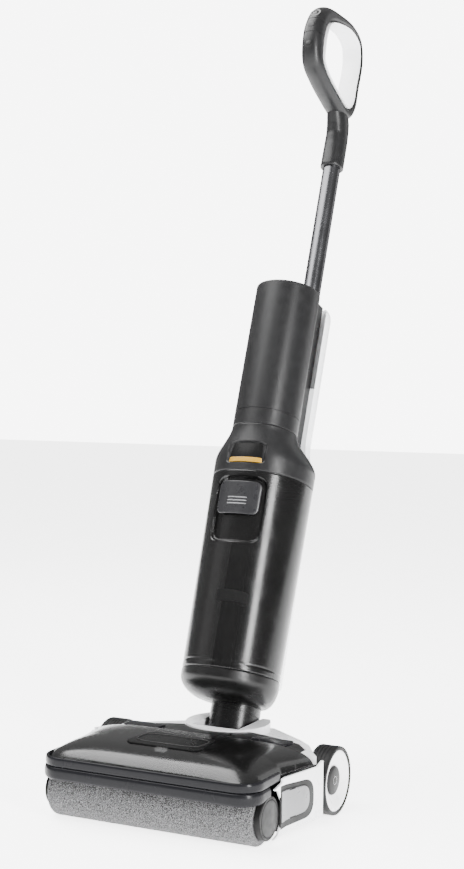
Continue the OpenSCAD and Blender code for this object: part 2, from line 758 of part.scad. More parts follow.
module inlet_pipe() {
    color(C_SMOKE, 0.6) in_body() translate([0, pipe_y - 12, tank_z0 + 3]) difference() {
        cylinder(r = 13, h = 165);
        translate([0, 0, -1]) cylinder(r = 11.4, h = 200);
    }
}
module tank_float() {
    color(C_WHITE) in_body() translate([0, pipe_y - 12, tank_z0 + 90]) difference() {
        cylinder(r = 21, h = 14);
        translate([0, 0, -1]) cylinder(r = 13 + 0.6, h = 20);
    }
}
module tank_latch() {
    color(C_DARK) in_body() front_plate(30.5, 31, latch_z0 + 38, latch_z1 - 8, -1.5, 4, 9);
}

module clean_tank() {
    k = body_z - tube_seat - 12;
    top = body_z - 12;
    zs = concat(
        [tank_z0 - 6, tank_z0 + 2, tank_z0 + 120],
        [for (i = [0:9]) mix(flare_z0 - 30, shoulder_z + 30, i / 9)], [k - 0.5, k + 0.5, top]
    );
    n = len(zs);
    color(C_WHITE, 0.9) in_body() skin(concat(
        [clean_ring(zs[0], 3, 0)],
        [for (i = [1:n - 1]) clean_ring(zs[i], 0, zs[i] > k ? 1 : 0)],
        [clean_ring(top, wall, 1)],
        [clean_ring(k - wall + 0.5, wall, 1), clean_ring(k - wall - 0.5, wall, 0)],
        [for (i = [n - 4:-1:1]) clean_ring(zs[i], wall, 0)]
    ));
}
module clean_tank_top() {
    color(C_WHITE) in_body() difference() {
        union() for (p = [[0, 9], [2, 12]]) translate([0, 0, body_z - 12]) linear_extrude(p[1])
            polygon([for (q = clean_ring(body_z, p[0], 1, p[0])) [q[0], q[1]]]);
        translate([0, filler_y, body_z - 8]) cylinder(r = filler_r + slip, h = 20);
    }
}
module filler_cap() {
    color(C_BLACK) in_body() translate([0, filler_y, body_z - 7.8]) union() {
        cylinder(r = filler_r, h = 8);
        translate([0, 0, 7.9]) cylinder(r = filler_r + 1.2, h = 2);
    }
}

// ---- Stick and handle ----
module stick_tube() {
    color("#8c8e91") in_body() translate([0, tube_c, body_z - tube_seat]) difference() {
        cylinder(r = tube_r, h = tube_z - body_z + tube_seat);
        translate([0, 0, -1]) cylinder(r = tube_r - 1.5, h = 1000);
    }
}
stem_z0 = 878;
module handle_stem() {
    color(C_DARK) in_body() difference() {
        union() {
            translate([0, tube_c, stem_z0]) cylinder(r = stem_r, h = stem_z1 - stem_z0);
            hull() {
                translate([0, tube_c, stem_z1 - 30]) cylinder(r = stem_r, h = 1, $fn = 32);
                translate([0, tube_c - 8, stem_z1 - 1]) cylinder(r = stem_r + 2, h = 1, $fn = 32);
            }
        }
        translate([0, tube_c, stem_z0 - 1]) cylinder(r = tube_r + run, h = tube_z - stem_z0 + 2);
        translate([0, tube_c, stem_z0 - 1]) cylinder(r = tube_r - 2, h = stem_z1 - stem_z0 - 4);
    }
}
// Smooth closed curve through the loop points
function spline(p0, p1, p2, p3, u) =
    0.5 * ((2 * p1) + (p2 - p0) * u + (2 * p0 - 5 * p1 + 4 * p2 - p3) * u * u
        + (3 * p1 - p0 - 3 * p2 + p3) * u * u * u);
function loop_at(k) =
    let (i = floor(k / loop_steps), u = k / loop_steps - i)
    spline(loop_pts[(i + loop_n - 1) % loop_n], loop_pts[i % loop_n],
        loop_pts[(i + 1) % loop_n], loop_pts[(i + 2) % loop_n], u);
loop_m = loop_n * loop_steps;
function loop_dir(k) =
    let (a = loop_at((k + loop_m - 1) % loop_m), b = loop_at((k + 1) % loop_m), d = [b[0] - a[0], b[1] - a[1]])
    d / norm(d);
// Point at width x and outward distance n from the middle of the grip
function loop_pt(k, x, n) =
    let (c = loop_at(k), d = loop_dir(k)) [x, c[0] - n * d[1], c[1] + n * d[0]];
function sec_x(a, w) = (loop_hw - w) * cos(a);
function sec_n(h, a, w) = max(-(h - insert_t) + w, (h - w) * sin(a));
function half_angles() = [for (i = [0:8]) -90 + i * 22.5];
module handle_half(s) {
    angles = half_angles();
    color(C_DARK) in_body() difference() {
        skin([
            for (k = [0:loop_m - 1]) let (h = loop_at(k)[2]) s > 0
                ? concat([for (a = angles) loop_pt(k, sec_x(a, loop_wall), sec_n(h, a, loop_wall))],
                    [for (i = [8:-1:0]) loop_pt(k, sec_x(angles[i], 0), sec_n(h, angles[i], 0))])
                : concat([for (a = angles) loop_pt(k, -sec_x(a, 0), sec_n(h, a, 0))],
                    [for (i = [8:-1:0]) loop_pt(k, -sec_x(angles[i], loop_wall), sec_n(h, angles[i], loop_wall))])
        ], closed = true);
        on_grip(panel_k) translate([0, 0, -5]) cylinder(r = panel_r, h = 9);
        on_grip(mode_k) translate([0, 0, -5]) cylinder(r = mode_r + slip, h = 9);
        on_grip(power_k) translate([0, 0, -5]) cylinder(r = power_r + slip, h = 9);
    }
}
module handle_left() handle_half(-1);
module handle_right() handle_half(1);
module handle_insert() {
    k0 = 3 * loop_steps;
    k1 = 11 * loop_steps;
    hw = loop_hw - 2.5;
    color(C_WHITE) in_body() skin([
        for (k = [k0:k1]) let (h = loop_at(k)[2]) [
            loop_pt(k, -hw, -h), loop_pt(k, -hw - 1, -h + insert_t), loop_pt(k, hw + 1, -h + insert_t),
            loop_pt(k, hw, -h)
        ]
    ]);
}
// Places of the buttons along the loop, and their radii
panel_k = 1.45 * loop_steps;
panel_r = 8;
clean_r = 5;
mode_k = 0.75 * loop_steps;
mode_r = 5.5;
power_k = 12.85 * loop_steps;
power_r = 5;
module on_grip(k) {
    p = loop_pt(k, 0, loop_at(k)[2]);
    d = loop_dir(k);
    translate(p) rotate([90 - atan2(d[0], d[1]), 0, 0]) children();
}
module button(r) {
    rotate_extrude() polygon([[0, -3], [r, -3], [r, -0.5], [r - 0.8, 0], [r * 0.5, 0.4], [0, 0.5]]);
}
module button_panel() {
    color(C_BLACK) in_body() on_grip(panel_k) difference() {
        translate([0, 0, -2.5]) cylinder(r = panel_r, h = 2.5);
        translate([0, 0, -3]) cylinder(r = clean_r + slip, h = 4);
    }
}
module self_clean_button() {
    color(C_WHITE) in_body() on_grip(panel_k) button(clean_r);
}
module mode_button() {
    color(C_DARK) in_body() on_grip(mode_k) button(mode_r);
}
module power_button() {
    color(C_BLACK) in_body() on_grip(power_k) button(power_r);
}

head_chassis();
sole_plate();
side_panel_left();
side_panel_right();
top_bridge();
neck_ring();
roller_cover();
front_bumper();
cover_band();
cover_window();
scraper_blade();
spray_bar();
weight_plate();
drive_motor();
motor_pulley();
drive_belt();
drive_dog();
belt_cover();
roller_core();
roller_fabric();
roller_end_cap();
head_pins();
tyre_left();
rim_left();
tyre_right();
rim_right();
suction_duct();
sole_screws();
charge_contacts();
neck_lower();
neck_upper();
swivel_pin();
base_cap();
body_frame();
battery_pack();
motor_housing();
suction_motor();
shoulder();
display_lens();
display_glass();
circuit_board();
dirty_tank();
tank_lid();
tank_filter();
inlet_pipe();
tank_float();
tank_latch();
clean_tank();
clean_tank_top();
filler_cap();
stick_tube();
handle_left();
handle_right();
handle_insert();
handle_stem();
button_panel();
self_clean_button();
mode_button();
power_button();
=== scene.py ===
"""Looks of an upright wet and dry floor washer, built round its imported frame."""

import json
import math
from collections import namedtuple
from types import SimpleNamespace

import bmesh
import bpy
from mathutils import Matrix, Vector, noise


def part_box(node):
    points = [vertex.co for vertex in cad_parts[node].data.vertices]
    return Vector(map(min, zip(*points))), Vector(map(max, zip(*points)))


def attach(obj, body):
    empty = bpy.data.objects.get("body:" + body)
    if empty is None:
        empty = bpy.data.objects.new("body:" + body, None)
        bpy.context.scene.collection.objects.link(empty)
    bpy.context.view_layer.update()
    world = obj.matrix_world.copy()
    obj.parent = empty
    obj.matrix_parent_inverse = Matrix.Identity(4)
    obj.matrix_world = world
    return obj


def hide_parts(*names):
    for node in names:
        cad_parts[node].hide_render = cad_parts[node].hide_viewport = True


bl_info = {
    "name": "Floor washer looks",
    "version": (1, 0, 0),
    "blender": (4, 5, 0),
    "location": "View3D > Sidebar > Washer",
    "description": "Builds the visible pieces of an upright wet and dry floor washer",
    "category": "Object",
}

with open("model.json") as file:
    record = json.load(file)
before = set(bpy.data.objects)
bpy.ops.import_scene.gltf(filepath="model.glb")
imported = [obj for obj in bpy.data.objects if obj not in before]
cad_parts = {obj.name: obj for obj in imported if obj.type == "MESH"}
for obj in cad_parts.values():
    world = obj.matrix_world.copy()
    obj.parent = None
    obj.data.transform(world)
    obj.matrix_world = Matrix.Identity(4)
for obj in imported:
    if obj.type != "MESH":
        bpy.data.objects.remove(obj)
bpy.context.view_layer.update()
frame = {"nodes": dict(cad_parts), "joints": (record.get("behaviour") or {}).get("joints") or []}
MM = 0.001
TILT = next(j for j in frame["joints"] if j["name"] == "body_tilt")
ROLLER_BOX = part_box("roller_fabric")
ROLLER_Y = (ROLLER_BOX[0][1] + ROLLER_BOX[1][1]) / 2
LEAN = math.radians(20.3)  # the stick's lean from upright

# Shapes are worked out in mm. HEAD places those measured from the floor below the
# roller's axis, and BODY those measured from the tilt hinge, with z along the stick.
HEAD = Matrix.Translation((0, ROLLER_Y, 0)) @ Matrix.Scale(MM, 4)
BODY = (
    Matrix.Translation(TILT["pos_m"]) @ Matrix.Rotation(-LEAN, 4, "X") @ Matrix.Scale(MM, 4)
)


def head_box(node):
    """Low and high corner of a CAD node's box, in the head's mm."""
    to_head = HEAD.inverted()
    return [
        Vector([round(c, 1) for c in to_head @ Vector(corner)]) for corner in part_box(node)
    ]


ROLLER = head_box("roller_fabric")
WHEEL = head_box("tyre_right")
COVER = head_box("roller_cover")
SIDE = head_box("side_panel_right")


# ---- Sizes and colours -------------------------------------------------------
def size(name, description, default):
    """A length, given in mm and kept in metres."""
    return bpy.props.FloatProperty(
        name=name, description=description, default=default * MM, min=0.0, precision=4,
        subtype="DISTANCE", unit="LENGTH",
    )


def in_mm(group):
    """The lengths of a group of sizes, in mm."""
    return SimpleNamespace(
        **{name: round(getattr(group, name) / MM, 3) for name in group.__annotations__}
    )


def colour(name, description, default):
    return bpy.props.FloatVectorProperty(
        name=name, description=description, default=default, size=3, min=0.0, max=1.0,
        subtype="COLOR",
    )


class HeadSizes(bpy.types.PropertyGroup):
    roller_r: size("Roller radius", "Radius of the roller fabric", ROLLER[1].z / 2)
    roller_half: size("Roller half length", "Half the roller's length", ROLLER[1].x)
    end_x: size("End face", "Side face of the head from the middle", SIDE[0].x)
    deck_z: size("Deck height", "Height of the deck under the cover", COVER[0].z)
    cover_z: size("Cover height", "Height of the cover's crown", COVER[1].z)
    wheel_y: size("Wheel place", "Wheel axle behind the roller axis", (WHEEL[0].y + WHEEL[1].y) / 2)
    wheel_r: size("Wheel radius", "Radius of each rear wheel", WHEEL[1].z / 2)
    wheel_out: size("Wheel face", "Outer face of a wheel from the middle", WHEEL[1].x)
    tyre_w: size("Tyre width", "Width of each tyre", WHEEL[1].x - WHEEL[0].x)


class BodySizes(bpy.types.PropertyGroup):
    housing_r: size("Housing radius", "Radius of the upper housing", 45)
    tank_r: size("Tank radius", "Radius of the body at the tank's top seam", 69.5)
    foot_r: size("Foot radius", "Radius of the body at its foot", 65.5)
    neck_r: size("Neck radius", "Radius of the neck", 33.5)
    tank_z0: size("Tank foot", "Height along the stick of the tanks' foot", 105)
    tank_z1: size("Tank seam", "Height of the dirty tank's top seam", 369)
    shoulder_z: size("Shoulder top", "Height of the top of the shoulder", 436)
    body_z: size("Body top", "Height of the top of the body", 646)
    rear_depth: size("Rear depth", "Hinge line to the clean tank's back", 54)


class HandleSizes(bpy.types.PropertyGroup):
    half_width: size("Half width", "Half width of the loop", 15.5)
    stem_r: size("Stem radius", "Radius of the handle stem", 17.3)
    stem_z0: size("Stem foot", "Height of the stem's lower edge", 878)
    insert_t: size("Insert thickness", "Thickness of the pale insert", 2)


class Finishes(bpy.types.PropertyGroup):
    dark: colour("Dark plastic", "Satin dark grey mouldings", (0.007, 0.007, 0.0073))
    black: colour("Black plastic", "Black mouldings", (0.004, 0.004, 0.004))
    key: colour("Latch", "Plate of the tank's latch", (0.010, 0.010, 0.011))
    lip: colour("Cover lip", "Glossy strip under the cover", (0.006, 0.006, 0.007))
    white: colour("White plastic", "White mouldings", (0.74, 0.74, 0.75))
    milky: colour("Clean tank", "Milky clear plastic", (0.80, 0.81, 0.82))
    silver: colour("Silver plastic", "Roller lever", (0.12, 0.12, 0.124))
    grey: colour("Grey plastic", "Disc of the roller's end and the hubs", (0.014, 0.014, 0.014))
    smoke: colour("Smoked plastic", "Dirty tank and cover", (0.003, 0.003, 0.003))
    yellow: colour("Display band", "Yellow band below the display", (0.28, 0.15, 0.003))
    metal: colour("Stick", "Anodised aluminium", (0.10, 0.10, 0.105))
    pile_light: colour("Light pile", "Light yarn of the roller", (0.15, 0.15, 0.154))
    pile_dark: colour("Dark pile", "Dark yarn of the roller", (0.002, 0.002, 0.002))


def head_sizes():
    return in_mm(bpy.context.scene.washer_head)


def body_sizes():
    return in_mm(bpy.context.scene.washer_body)


def handle_sizes():
    return in_mm(bpy.context.scene.washer_handle)


def finishes():
    return bpy.context.scene.washer_finish


# ---- Materials ---------------------------------------------------------------
def new_material(name):
    """The material and its new node tree, or no tree where the material is there."""
    found = bpy.data.materials.get(name)
    if found:
        return found, None
    material = bpy.data.materials.new(name)
    material.use_nodes = True
    return material, material.node_tree


def add_noise(tree, coords, scale, detail):
    node = tree.nodes.new("ShaderNodeTexNoise")
    node.inputs["Scale"].default_value = scale
    node.inputs["Detail"].default_value = detail
    tree.links.new(coords, node.inputs["Vector"])
    return node.outputs["Fac"]


def remap(tree, value, low, high):
    node = tree.nodes.new("ShaderNodeMapRange")
    node.inputs["From Min"].default_value = 0.3
    node.inputs["From Max"].default_value = 0.7
    node.inputs["To Min"].default_value = low
    node.inputs["To Max"].default_value = high
    tree.links.new(value, node.inputs["Value"])
    return node.outputs["Result"]


def tint(tree, value, first, second):
    node = tree.nodes.new("ShaderNodeMix")
    node.data_type = "RGBA"
    tree.links.new(value, node.inputs["Factor"])
    node.inputs["A"].default_value = (*first, 1)
    node.inputs["B"].default_value = (*second, 1)
    return node.outputs["Result"]


def moulded(name, base, rough, grain=900.0, bump=0.06, vary=0.12, swirl=35.0, **settings):
    """A moulded surface: faint colour drift, uneven gloss and a fine grain."""
    material, tree = new_material(name)
    if tree is None:
        return material
    shader = tree.nodes["Principled BSDF"]
    coords = tree.nodes.new("ShaderNodeTexCoord").outputs["Object"]
    drift = add_noise(tree, coords, swirl, 3)
    fine = add_noise(tree, coords, grain, 4)
    low = tuple(c * (1 - vary) for c in base)
    high = tuple(min(1.0, c * (1 + vary)) for c in base)
    tree.links.new(tint(tree, drift, low, high), shader.inputs["Base Color"])
    tree.links.new(
        remap(tree, add_noise(tree, coords, swirl * 3, 5), rough * 0.82, rough * 1.2),
        shader.inputs["Roughness"],
    )
    relief = tree.nodes.new("ShaderNodeBump")
    relief.inputs["Strength"].default_value = bump
    relief.inputs["Distance"].default_value = 0.0003
    tree.links.new(fine, relief.inputs["Height"])
    tree.links.new(relief.outputs["Normal"], shader.inputs["Normal"])
    for key, value in settings.items():
        shader.inputs[key.replace("_", " ")].default_value = value
    return material


def make_materials():
    """Every finish of the object, by a short name."""
    f = finishes()
    m = {
        "dark": moulded(
            "Dark_satin", f.dark, 0.36, 1400, 0.10, Specular_IOR_Level=0.2
        ),
        "black": moulded(
            "Black_satin", f.black, 0.32, 1200, 0.08, Specular_IOR_Level=0.22
        ),
        "gloss": moulded(
            "Black_gloss", f.black, 0.26, 500, 0.02, Specular_IOR_Level=0.25
        ),
        "display": moulded(
            "Display_glass", (0.004, 0.004, 0.004), 0.3, 500, 0.01, Specular_IOR_Level=0.08
        ),
        "key": moulded("Latch_satin", f.key, 0.3, 1400, 0.08, Specular_IOR_Level=0.3),
        "lip": moulded(
            "Lip_gloss", f.lip, 0.24, 300, 0.02, 0.2, 14.0, Specular_IOR_Level=0.10
        ),
        "white": moulded("White_satin", f.white, 0.30, 1000, 0.05, 0.03),
        "milky": moulded("Milky_clear", f.milky, 0.22, 600, 0.03, 0.04),
        "silver": moulded("Silver_satin", f.silver, 0.32, 1500, 0.10, 0.06),
        "grey": moulded(
            "Grey_satin", f.grey, 0.45, 1500, 0.10, 0.06, Specular_IOR_Level=0.12
        ),
        "smoke": moulded(
            "Smoked_clear", f.smoke, 0.2, 300, 0.02, 0.2, 14.0, Alpha=0.95,
            Specular_IOR_Level=0.26,
        ),
        "veil": moulded(
            "Smoked_cover", f.smoke, 0.17, 300, 0.02, 0.2, 14.0, Alpha=0.86,
            Specular_IOR_Level=0.42,
        ),
        "yellow": moulded("Display_yellow", f.yellow, 0.35, 700, 0.02, 0.05),
        "metal": moulded(
            "Anodised_aluminium", f.metal, 0.24, 2500, 0.05, 0.04, 12.0, Metallic=1.0
        ),
        "steel": moulded("Bright_steel", (0.5, 0.5, 0.51), 0.28, 2000, 0.06, Metallic=1.0),
        "brass": moulded("Contact_brass", (0.68, 0.47, 0.2), 0.2, 2000, 0.04, Metallic=1.0),
        "rubber": moulded(
            "Black_rubber", (0.004, 0.004, 0.004), 0.5, 1600, 0.25, 0.2, Specular_IOR_Level=0.15
        ),
        "foam": moulded("Filter_foam", (0.3, 0.31, 0.32), 0.9, 900, 0.9, 0.2, 200.0),
        "wrap": moulded("Battery_wrap", (0.04, 0.06, 0.12), 0.35, 800, 0.05),
        "board": moulded("Circuit_board", (0.02, 0.08, 0.04), 0.4, 900, 0.1),
    }
    m["pile"] = pile_material()
    return m


def pile_material():
    """Speckled microfibre: two yarn colours in tufts of about a millimetre."""
    material, tree = new_material("Speckled_pile")
    if tree is None:
        return material
    f = finishes()
    shader = tree.nodes["Principled BSDF"]
    coords = tree.nodes.new("ShaderNodeTexCoord").outputs["Object"]
    speckle = add_noise(tree, coords, 1050, 1)
    tufts = tree.nodes.new("ShaderNodeTexVoronoi")
    tufts.inputs["Scale"].default_value = 1000
    tree.links.new(coords, tufts.inputs["Vector"])
    ramp = tree.nodes.new("ShaderNodeValToRGB")
    ramp.color_ramp.elements[0].position = 0.48
    ramp.color_ramp.elements[0].color = (*f.pile_dark, 1)
    ramp.color_ramp.elements[1].position = 0.55
    ramp.color_ramp.elements[1].color = (*f.pile_light, 1)
    tree.links.new(speckle, ramp.inputs["Fac"])
    patches = tint(tree, add_noise(tree, coords, 60, 3), (0.8, 0.8, 0.8), (1, 1, 1))
    mix = tree.nodes.new("ShaderNodeMix")
    mix.data_type = "RGBA"
    mix.blend_type = "MULTIPLY"
    mix.inputs["Factor"].default_value = 1.0
    tree.links.new(ramp.outputs["Color"], mix.inputs["A"])
    tree.links.new(patches, mix.inputs["B"])
    tree.links.new(mix.outputs["Result"], shader.inputs["Base Color"])
    shader.inputs["Roughness"].default_value = 0.95
    shader.inputs["Sheen Weight"].default_value = 0.08
    relief = tree.nodes.new("ShaderNodeBump")
    relief.inputs["Strength"].default_value = 0.9
    relief.inputs["Distance"].default_value = 0.0008
    tree.links.new(tufts.outputs["Distance"], relief.inputs["Height"])
    tree.links.new(relief.outputs["Normal"], shader.inputs["Normal"])
    return material


# ---- Shape helpers -----------------------------------------------------------
def smooth(u):
    v = min(1.0, max(0.0, u))
    return v * v * (3 - 2 * v)


def mix(a, b, u):
    return a + (b - a) * u


def signed_pow(x, p):
    return math.copysign(abs(x) ** p, x)


def rounded(points, closed=True, steps=5):
    """Corners of a flat outline, given as (x, y, radius), turned into arcs."""
    out = []
    count = len(points)
    for i, (x, y, r) in enumerate(points):
        here = Vector((x, y))
        if r <= 0 or (not closed and i in (0, count - 1)):
            out.append(here)
            continue
        before = Vector(points[i - 1][:2]) - here
        after = Vector(points[(i + 1) % count][:2]) - here
        angle = before.angle(after)
        reach = min(r / math.tan(angle / 2), before.length * 0.49, after.length * 0.49)
        start = here + before.normalized() * reach
        end = here + after.normalized() * reach
        for k in range(steps + 1):
            u = k / steps
            out.append((1 - u) ** 2 * start + 2 * u * (1 - u) * here + u * u * end)
    return out


def surface(nu, nv, place, fill=True):
    """A grid bent by place(u, v), its seams joined and its open ends filled."""
    bm = bmesh.new()
    bmesh.ops.create_grid(bm, x_segments=nu, y_segments=nv, size=1.0)
    for v in bm.verts:
        v.co = place((v.co.x + 1) / 2, (v.co.y + 1) / 2)
    bmesh.ops.remove_doubles(bm, verts=bm.verts, dist=1e-3)
    if fill:
        bmesh.ops.holes_fill(bm, edges=bm.edges, sides=0)
    return bm


def lathe(profile, axis="Z", steps=128):
    """A profile of (radius, height) turned all the way round an axis."""
    bm = bmesh.new()
    verts = [bm.verts.new((r, 0, z)) for r, z in profile]
    edges = [bm.edges.new(pair) for pair in zip(verts, verts[1:])]
    bmesh.ops.spin(
        bm, geom=verts + edges, cent=(0, 0, 0), axis=(0, 0, 1), dvec=(0, 0, 0),
        angle=math.tau, steps=steps, use_merge=True, use_normal_flip=False,
        use_duplicate=False,
    )
    bmesh.ops.remove_doubles(bm, verts=bm.verts, dist=1e-3)
    if axis == "X":
        bmesh.ops.rotate(
            bm, verts=bm.verts, cent=(0, 0, 0), matrix=Matrix.Rotation(math.pi / 2, 3, "Y")
        )
    return bm


def plate(outline, depth, edge):
    """A flat outline in (y, z) given thickness along x, cut where the head's side
    starts to widen so that it can bend there, with bevelled edges."""
    bm = bmesh.new()
    face = bm.faces.new([bm.verts.new((0, p[0], p[1])) for p in outline])
    raised = bmesh.ops.extrude_face_region(bm, geom=[face])
    verts = [g for g in raised["geom"] if isinstance(g, bmesh.types.BMVert)]
    bmesh.ops.translate(bm, verts=verts, vec=(depth, 0, 0))
    bmesh.ops.recalc_face_normals(bm, faces=bm.faces)
    bmesh.ops.bisect_plane(
        bm, geom=bm.verts[:] + bm.edges[:] + bm.faces[:], plane_co=(0, flare_y(), 0),
        plane_no=(0, 1, 0),
    )
    sharp = [e for e in bm.edges if e.calc_face_angle(0) > math.radians(60)]
    bmesh.ops.bevel(
        bm, geom=sharp, offset=edge, segments=3, profile=0.5, affect="EDGES", material=-1,
    )
    return bm


def finish_piece(bm, name, place, material, body, stands_for=(), slot=None, limit=38):
    """The mesh becomes a piece that rides on its body."""
    bmesh.ops.transform(bm, matrix=place, verts=bm.verts)
    bmesh.ops.recalc_face_normals(bm, faces=bm.faces)
    for f in bm.faces:
        f.smooth = True
    for e in bm.edges:
        e.smooth = e.calc_face_angle(0) < math.radians(limit)
    mesh = bpy.data.meshes.new(name)
    bm.to_mesh(mesh)
    bm.free()
    piece = bpy.data.objects.new(name, mesh)
    bpy.context.scene.collection.objects.link(piece)
    mesh.materials.append(material)
    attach(piece, body)
    if stands_for:
        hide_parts(*stands_for)
    return piece


def dress(material, *nodes):
    """CAD parts whose shape stays take a detailed material."""
    for name in nodes:
        part = frame["nodes"][name]
        part.data.materials.clear()
        part.data.materials.append(material)


# ---- Shape of the head and body ----------------------------------------------
# How far each side of the head widens towards the wheels, and over what length.
SIDE_FLARE = 16.0
SIDE_FLARE_LENGTH = 74.5


def flare_y():
    """Place behind the roller's axis from which the head's sides widen."""
    return head_sizes().roller_r + 7


def side_flare(y):
    """How far a side of the head has widened at y."""
    return SIDE_FLARE * max(0.0, y - flare_y()) / SIDE_FLARE_LENGTH


def flare_z0():
    """Height at which the body starts to narrow towards the housing."""
    return body_sizes().tank_z1 + 20


def body_r(z):
    """Radius of the body at height z."""
    b = body_sizes()
    f = flare_z0()
    if z >= b.shoulder_z:
        return b.housing_r
    if z >= f:
        return mix(b.tank_r, b.housing_r, smooth((z - f) / (b.shoulder_z - f)))
    return mix(b.foot_r, b.tank_r, (z - b.tank_z0) / (f - b.tank_z0))


# Middle lines of the housing, the tank and the stick, behind the tilt hinge.
HOUSING_C = -51.5
TANK_C = -31.5
TUBE_C = 22.0


def body_c(z):
    """Middle of the body at height z, behind the tilt hinge."""
    f = flare_z0()
    top = body_sizes().shoulder_z
    return mix(TANK_C, HOUSING_C, smooth((z - f) / (top - f))) if z < top else HOUSING_C


def front_of(x, z):
    """Front of the body at (x, z)."""
    r = body_r(z)
    return body_c(z) - math.sqrt(max(1.0, r * r - x * x))


Recess = namedtuple("Recess", "depth half_width z0 z1 edge")


def dish(x, z, recess, power=7):
    """How deep in a recess (x, z) lies, from 0 outside it to 1 on its floor."""
    h = (recess.z1 - recess.z0) / 2
    u = abs(x) / recess.half_width
    v = abs(z - (recess.z0 + recess.z1) / 2) / h
    q = (u**power + v**power) ** (1 / power)
    return smooth((1 - q) * min(recess.half_width, h) / recess.edge)


def body_point(u, z, r, c, back, recess=None):
    """A point of a body ring, cut flat at the back and pressed in by a recess."""
    a = math.tau * u
    x = r * math.sin(a)
    d = min(c - r * math.cos(a), back)
    if recess and d < c:
        d += recess.depth * dish(x, z, recess)
    return Vector((x, d, z))


def front_pad(half0, half1, z0, z1, off, t, corner, nu=72, nv=44, edge=1.0):
    """A thin pad with rounded corners and edges, following the body's front."""

    def place(u, v):
        a = math.tau * u
        z = mix(z0, z1, (1 - math.cos(math.pi * v)) / 2)
        near = min(z - z0, z1 - z)
        cut = max(0.0, corner - near)
        half = mix(half0, half1, (z - z0) / (z1 - z0))
        half -= corner - math.sqrt(max(0.0, corner * corner - cut * cut))
        k = math.sqrt(max(0.0, 1 - max(0.0, 1 - near / edge) ** 2))
        x = signed_pow(math.cos(a), 0.28) * (half - edge * (1 - k))
        d = signed_pow(math.sin(a), 0.45) * t / 2 * k
        return Vector((x, front_of(x, z) + off + t / 2 + d, z))

    return surface(nu, nv, place)


# ---- Stage -------------------------------------------------------------------
# Name, place, width and height, power.
LIGHTS = (
    ("Front_strip", (1.9, -1.25, 0.8), (0.42, 1.9), 150),
    ("Left_fill", (-1.7, -1.2, 1.0), (0.9, 1.6), 4),
    ("Rear_strip", (0.9, 1.5, 1.0), (0.7, 1.6), 5),
    ("Top_box", (-0.9, -0.35, 2.2), (2.4, 1.6), 140),
)
AIM = Vector((0, 0, 0.45))
CAMERA_PLACE = Vector((0.8814, -1.5492 + ROLLER_Y, 0.544))
CAMERA_LENS = 61.6
CAMERA_TURN = math.radians(26.894)
CAMERA_DIP = math.radians(2.097)
CAMERA_ROLL = math.radians(0.514)


def light_room(scene):
    """A room that is darker below, and paper white where the camera sees past it."""
    world = scene.world or bpy.data.worlds.new("World")
    scene.world = world
    world.use_nodes = True
    tree = world.node_tree
    room = tree.nodes["Background"]
    room.inputs["Strength"].default_value = 1.0
    ramp = tree.nodes.new("ShaderNodeMapRange")
    ramp.inputs["From Min"].default_value = -0.2
    ramp.inputs["To Min"].default_value = 0.12
    ramp.inputs["To Max"].default_value = 0.9
    split = tree.nodes.new("ShaderNodeSeparateXYZ")
    direction = tree.nodes.new("ShaderNodeTexCoord")
    tree.links.new(direction.outputs["Generated"], split.inputs["Vector"])
    tree.links.new(split.outputs["Z"], ramp.inputs["Value"])
    tree.links.new(ramp.outputs["Result"], room.inputs["Color"])
    paper = tree.nodes.new("ShaderNodeBackground")
    paper.inputs["Color"].default_value = (1, 1, 1, 1)
    paper.inputs["Strength"].default_value = 7.5
    seen = tree.nodes.new("ShaderNodeLightPath")
    blend = tree.nodes.new("ShaderNodeMixShader")
    tree.links.new(seen.outputs["Is Camera Ray"], blend.inputs["Fac"])
    tree.links.new(room.outputs["Background"], blend.inputs[1])
    tree.links.new(paper.outputs["Background"], blend.inputs[2])
    tree.links.new(blend.outputs["Shader"], tree.nodes["World Output"].inputs["Surface"])


def lay_floor(scene):
    """A wide pale floor."""
    bm = bmesh.new()
    bmesh.ops.create_grid(bm, x_segments=1, y_segments=1, size=9.0)
    mesh = bpy.data.meshes.new("Floor")
    bm.to_mesh(mesh)
    bm.free()
    floor = bpy.data.objects.new("Floor", mesh)
    scene.collection.objects.link(floor)
    mesh.materials.append(
        moulded(
            "Pale_floor", (0.92, 0.92, 0.92), 0.8, 60, 0.02, 0.01, 1.5,
            Specular_IOR_Level=0.1, Emission_Color=(1, 1, 1, 1), Emission_Strength=4.0,
        )
    )


def hang_lights(scene):
    """Area lights turned towards the middle of the object."""
    for name, place, extent, power in LIGHTS:
        data = bpy.data.lights.new(name, "AREA")
        data.shape = "RECTANGLE"
        data.size, data.size_y = extent
        data.energy = power
        lamp = bpy.data.objects.new(name, data)
        scene.collection.objects.link(lamp)
        lamp.location = place
        lamp.rotation_euler = (AIM - Vector(place)).to_track_quat("-Z", "Y").to_euler()


def set_camera(scene):
    """A camera turned round Z, dipped towards the floor, then rolled."""
    lens = bpy.data.cameras.new("Camera")
    lens.sensor_fit = "VERTICAL"
    lens.sensor_height = 36.0
    lens.lens = CAMERA_LENS
    camera = bpy.data.objects.new("Camera", lens)
    scene.collection.objects.link(camera)
    right = Vector((math.cos(CAMERA_TURN), math.sin(CAMERA_TURN), 0))
    level = math.cos(CAMERA_DIP)
    ahead = Vector(
        (-math.sin(CAMERA_TURN) * level, math.cos(CAMERA_TURN) * level, -math.sin(CAMERA_DIP))
    )
    up = right.cross(ahead)
    side = right * math.cos(CAMERA_ROLL) + up * math.sin(CAMERA_ROLL)
    top = up * math.cos(CAMERA_ROLL) - right * math.sin(CAMERA_ROLL)
    turned = Matrix((side, top, -ahead)).transposed().to_4x4()
    camera.matrix_world = Matrix.Translation(CAMERA_PLACE) @ turned
    scene.camera = camera


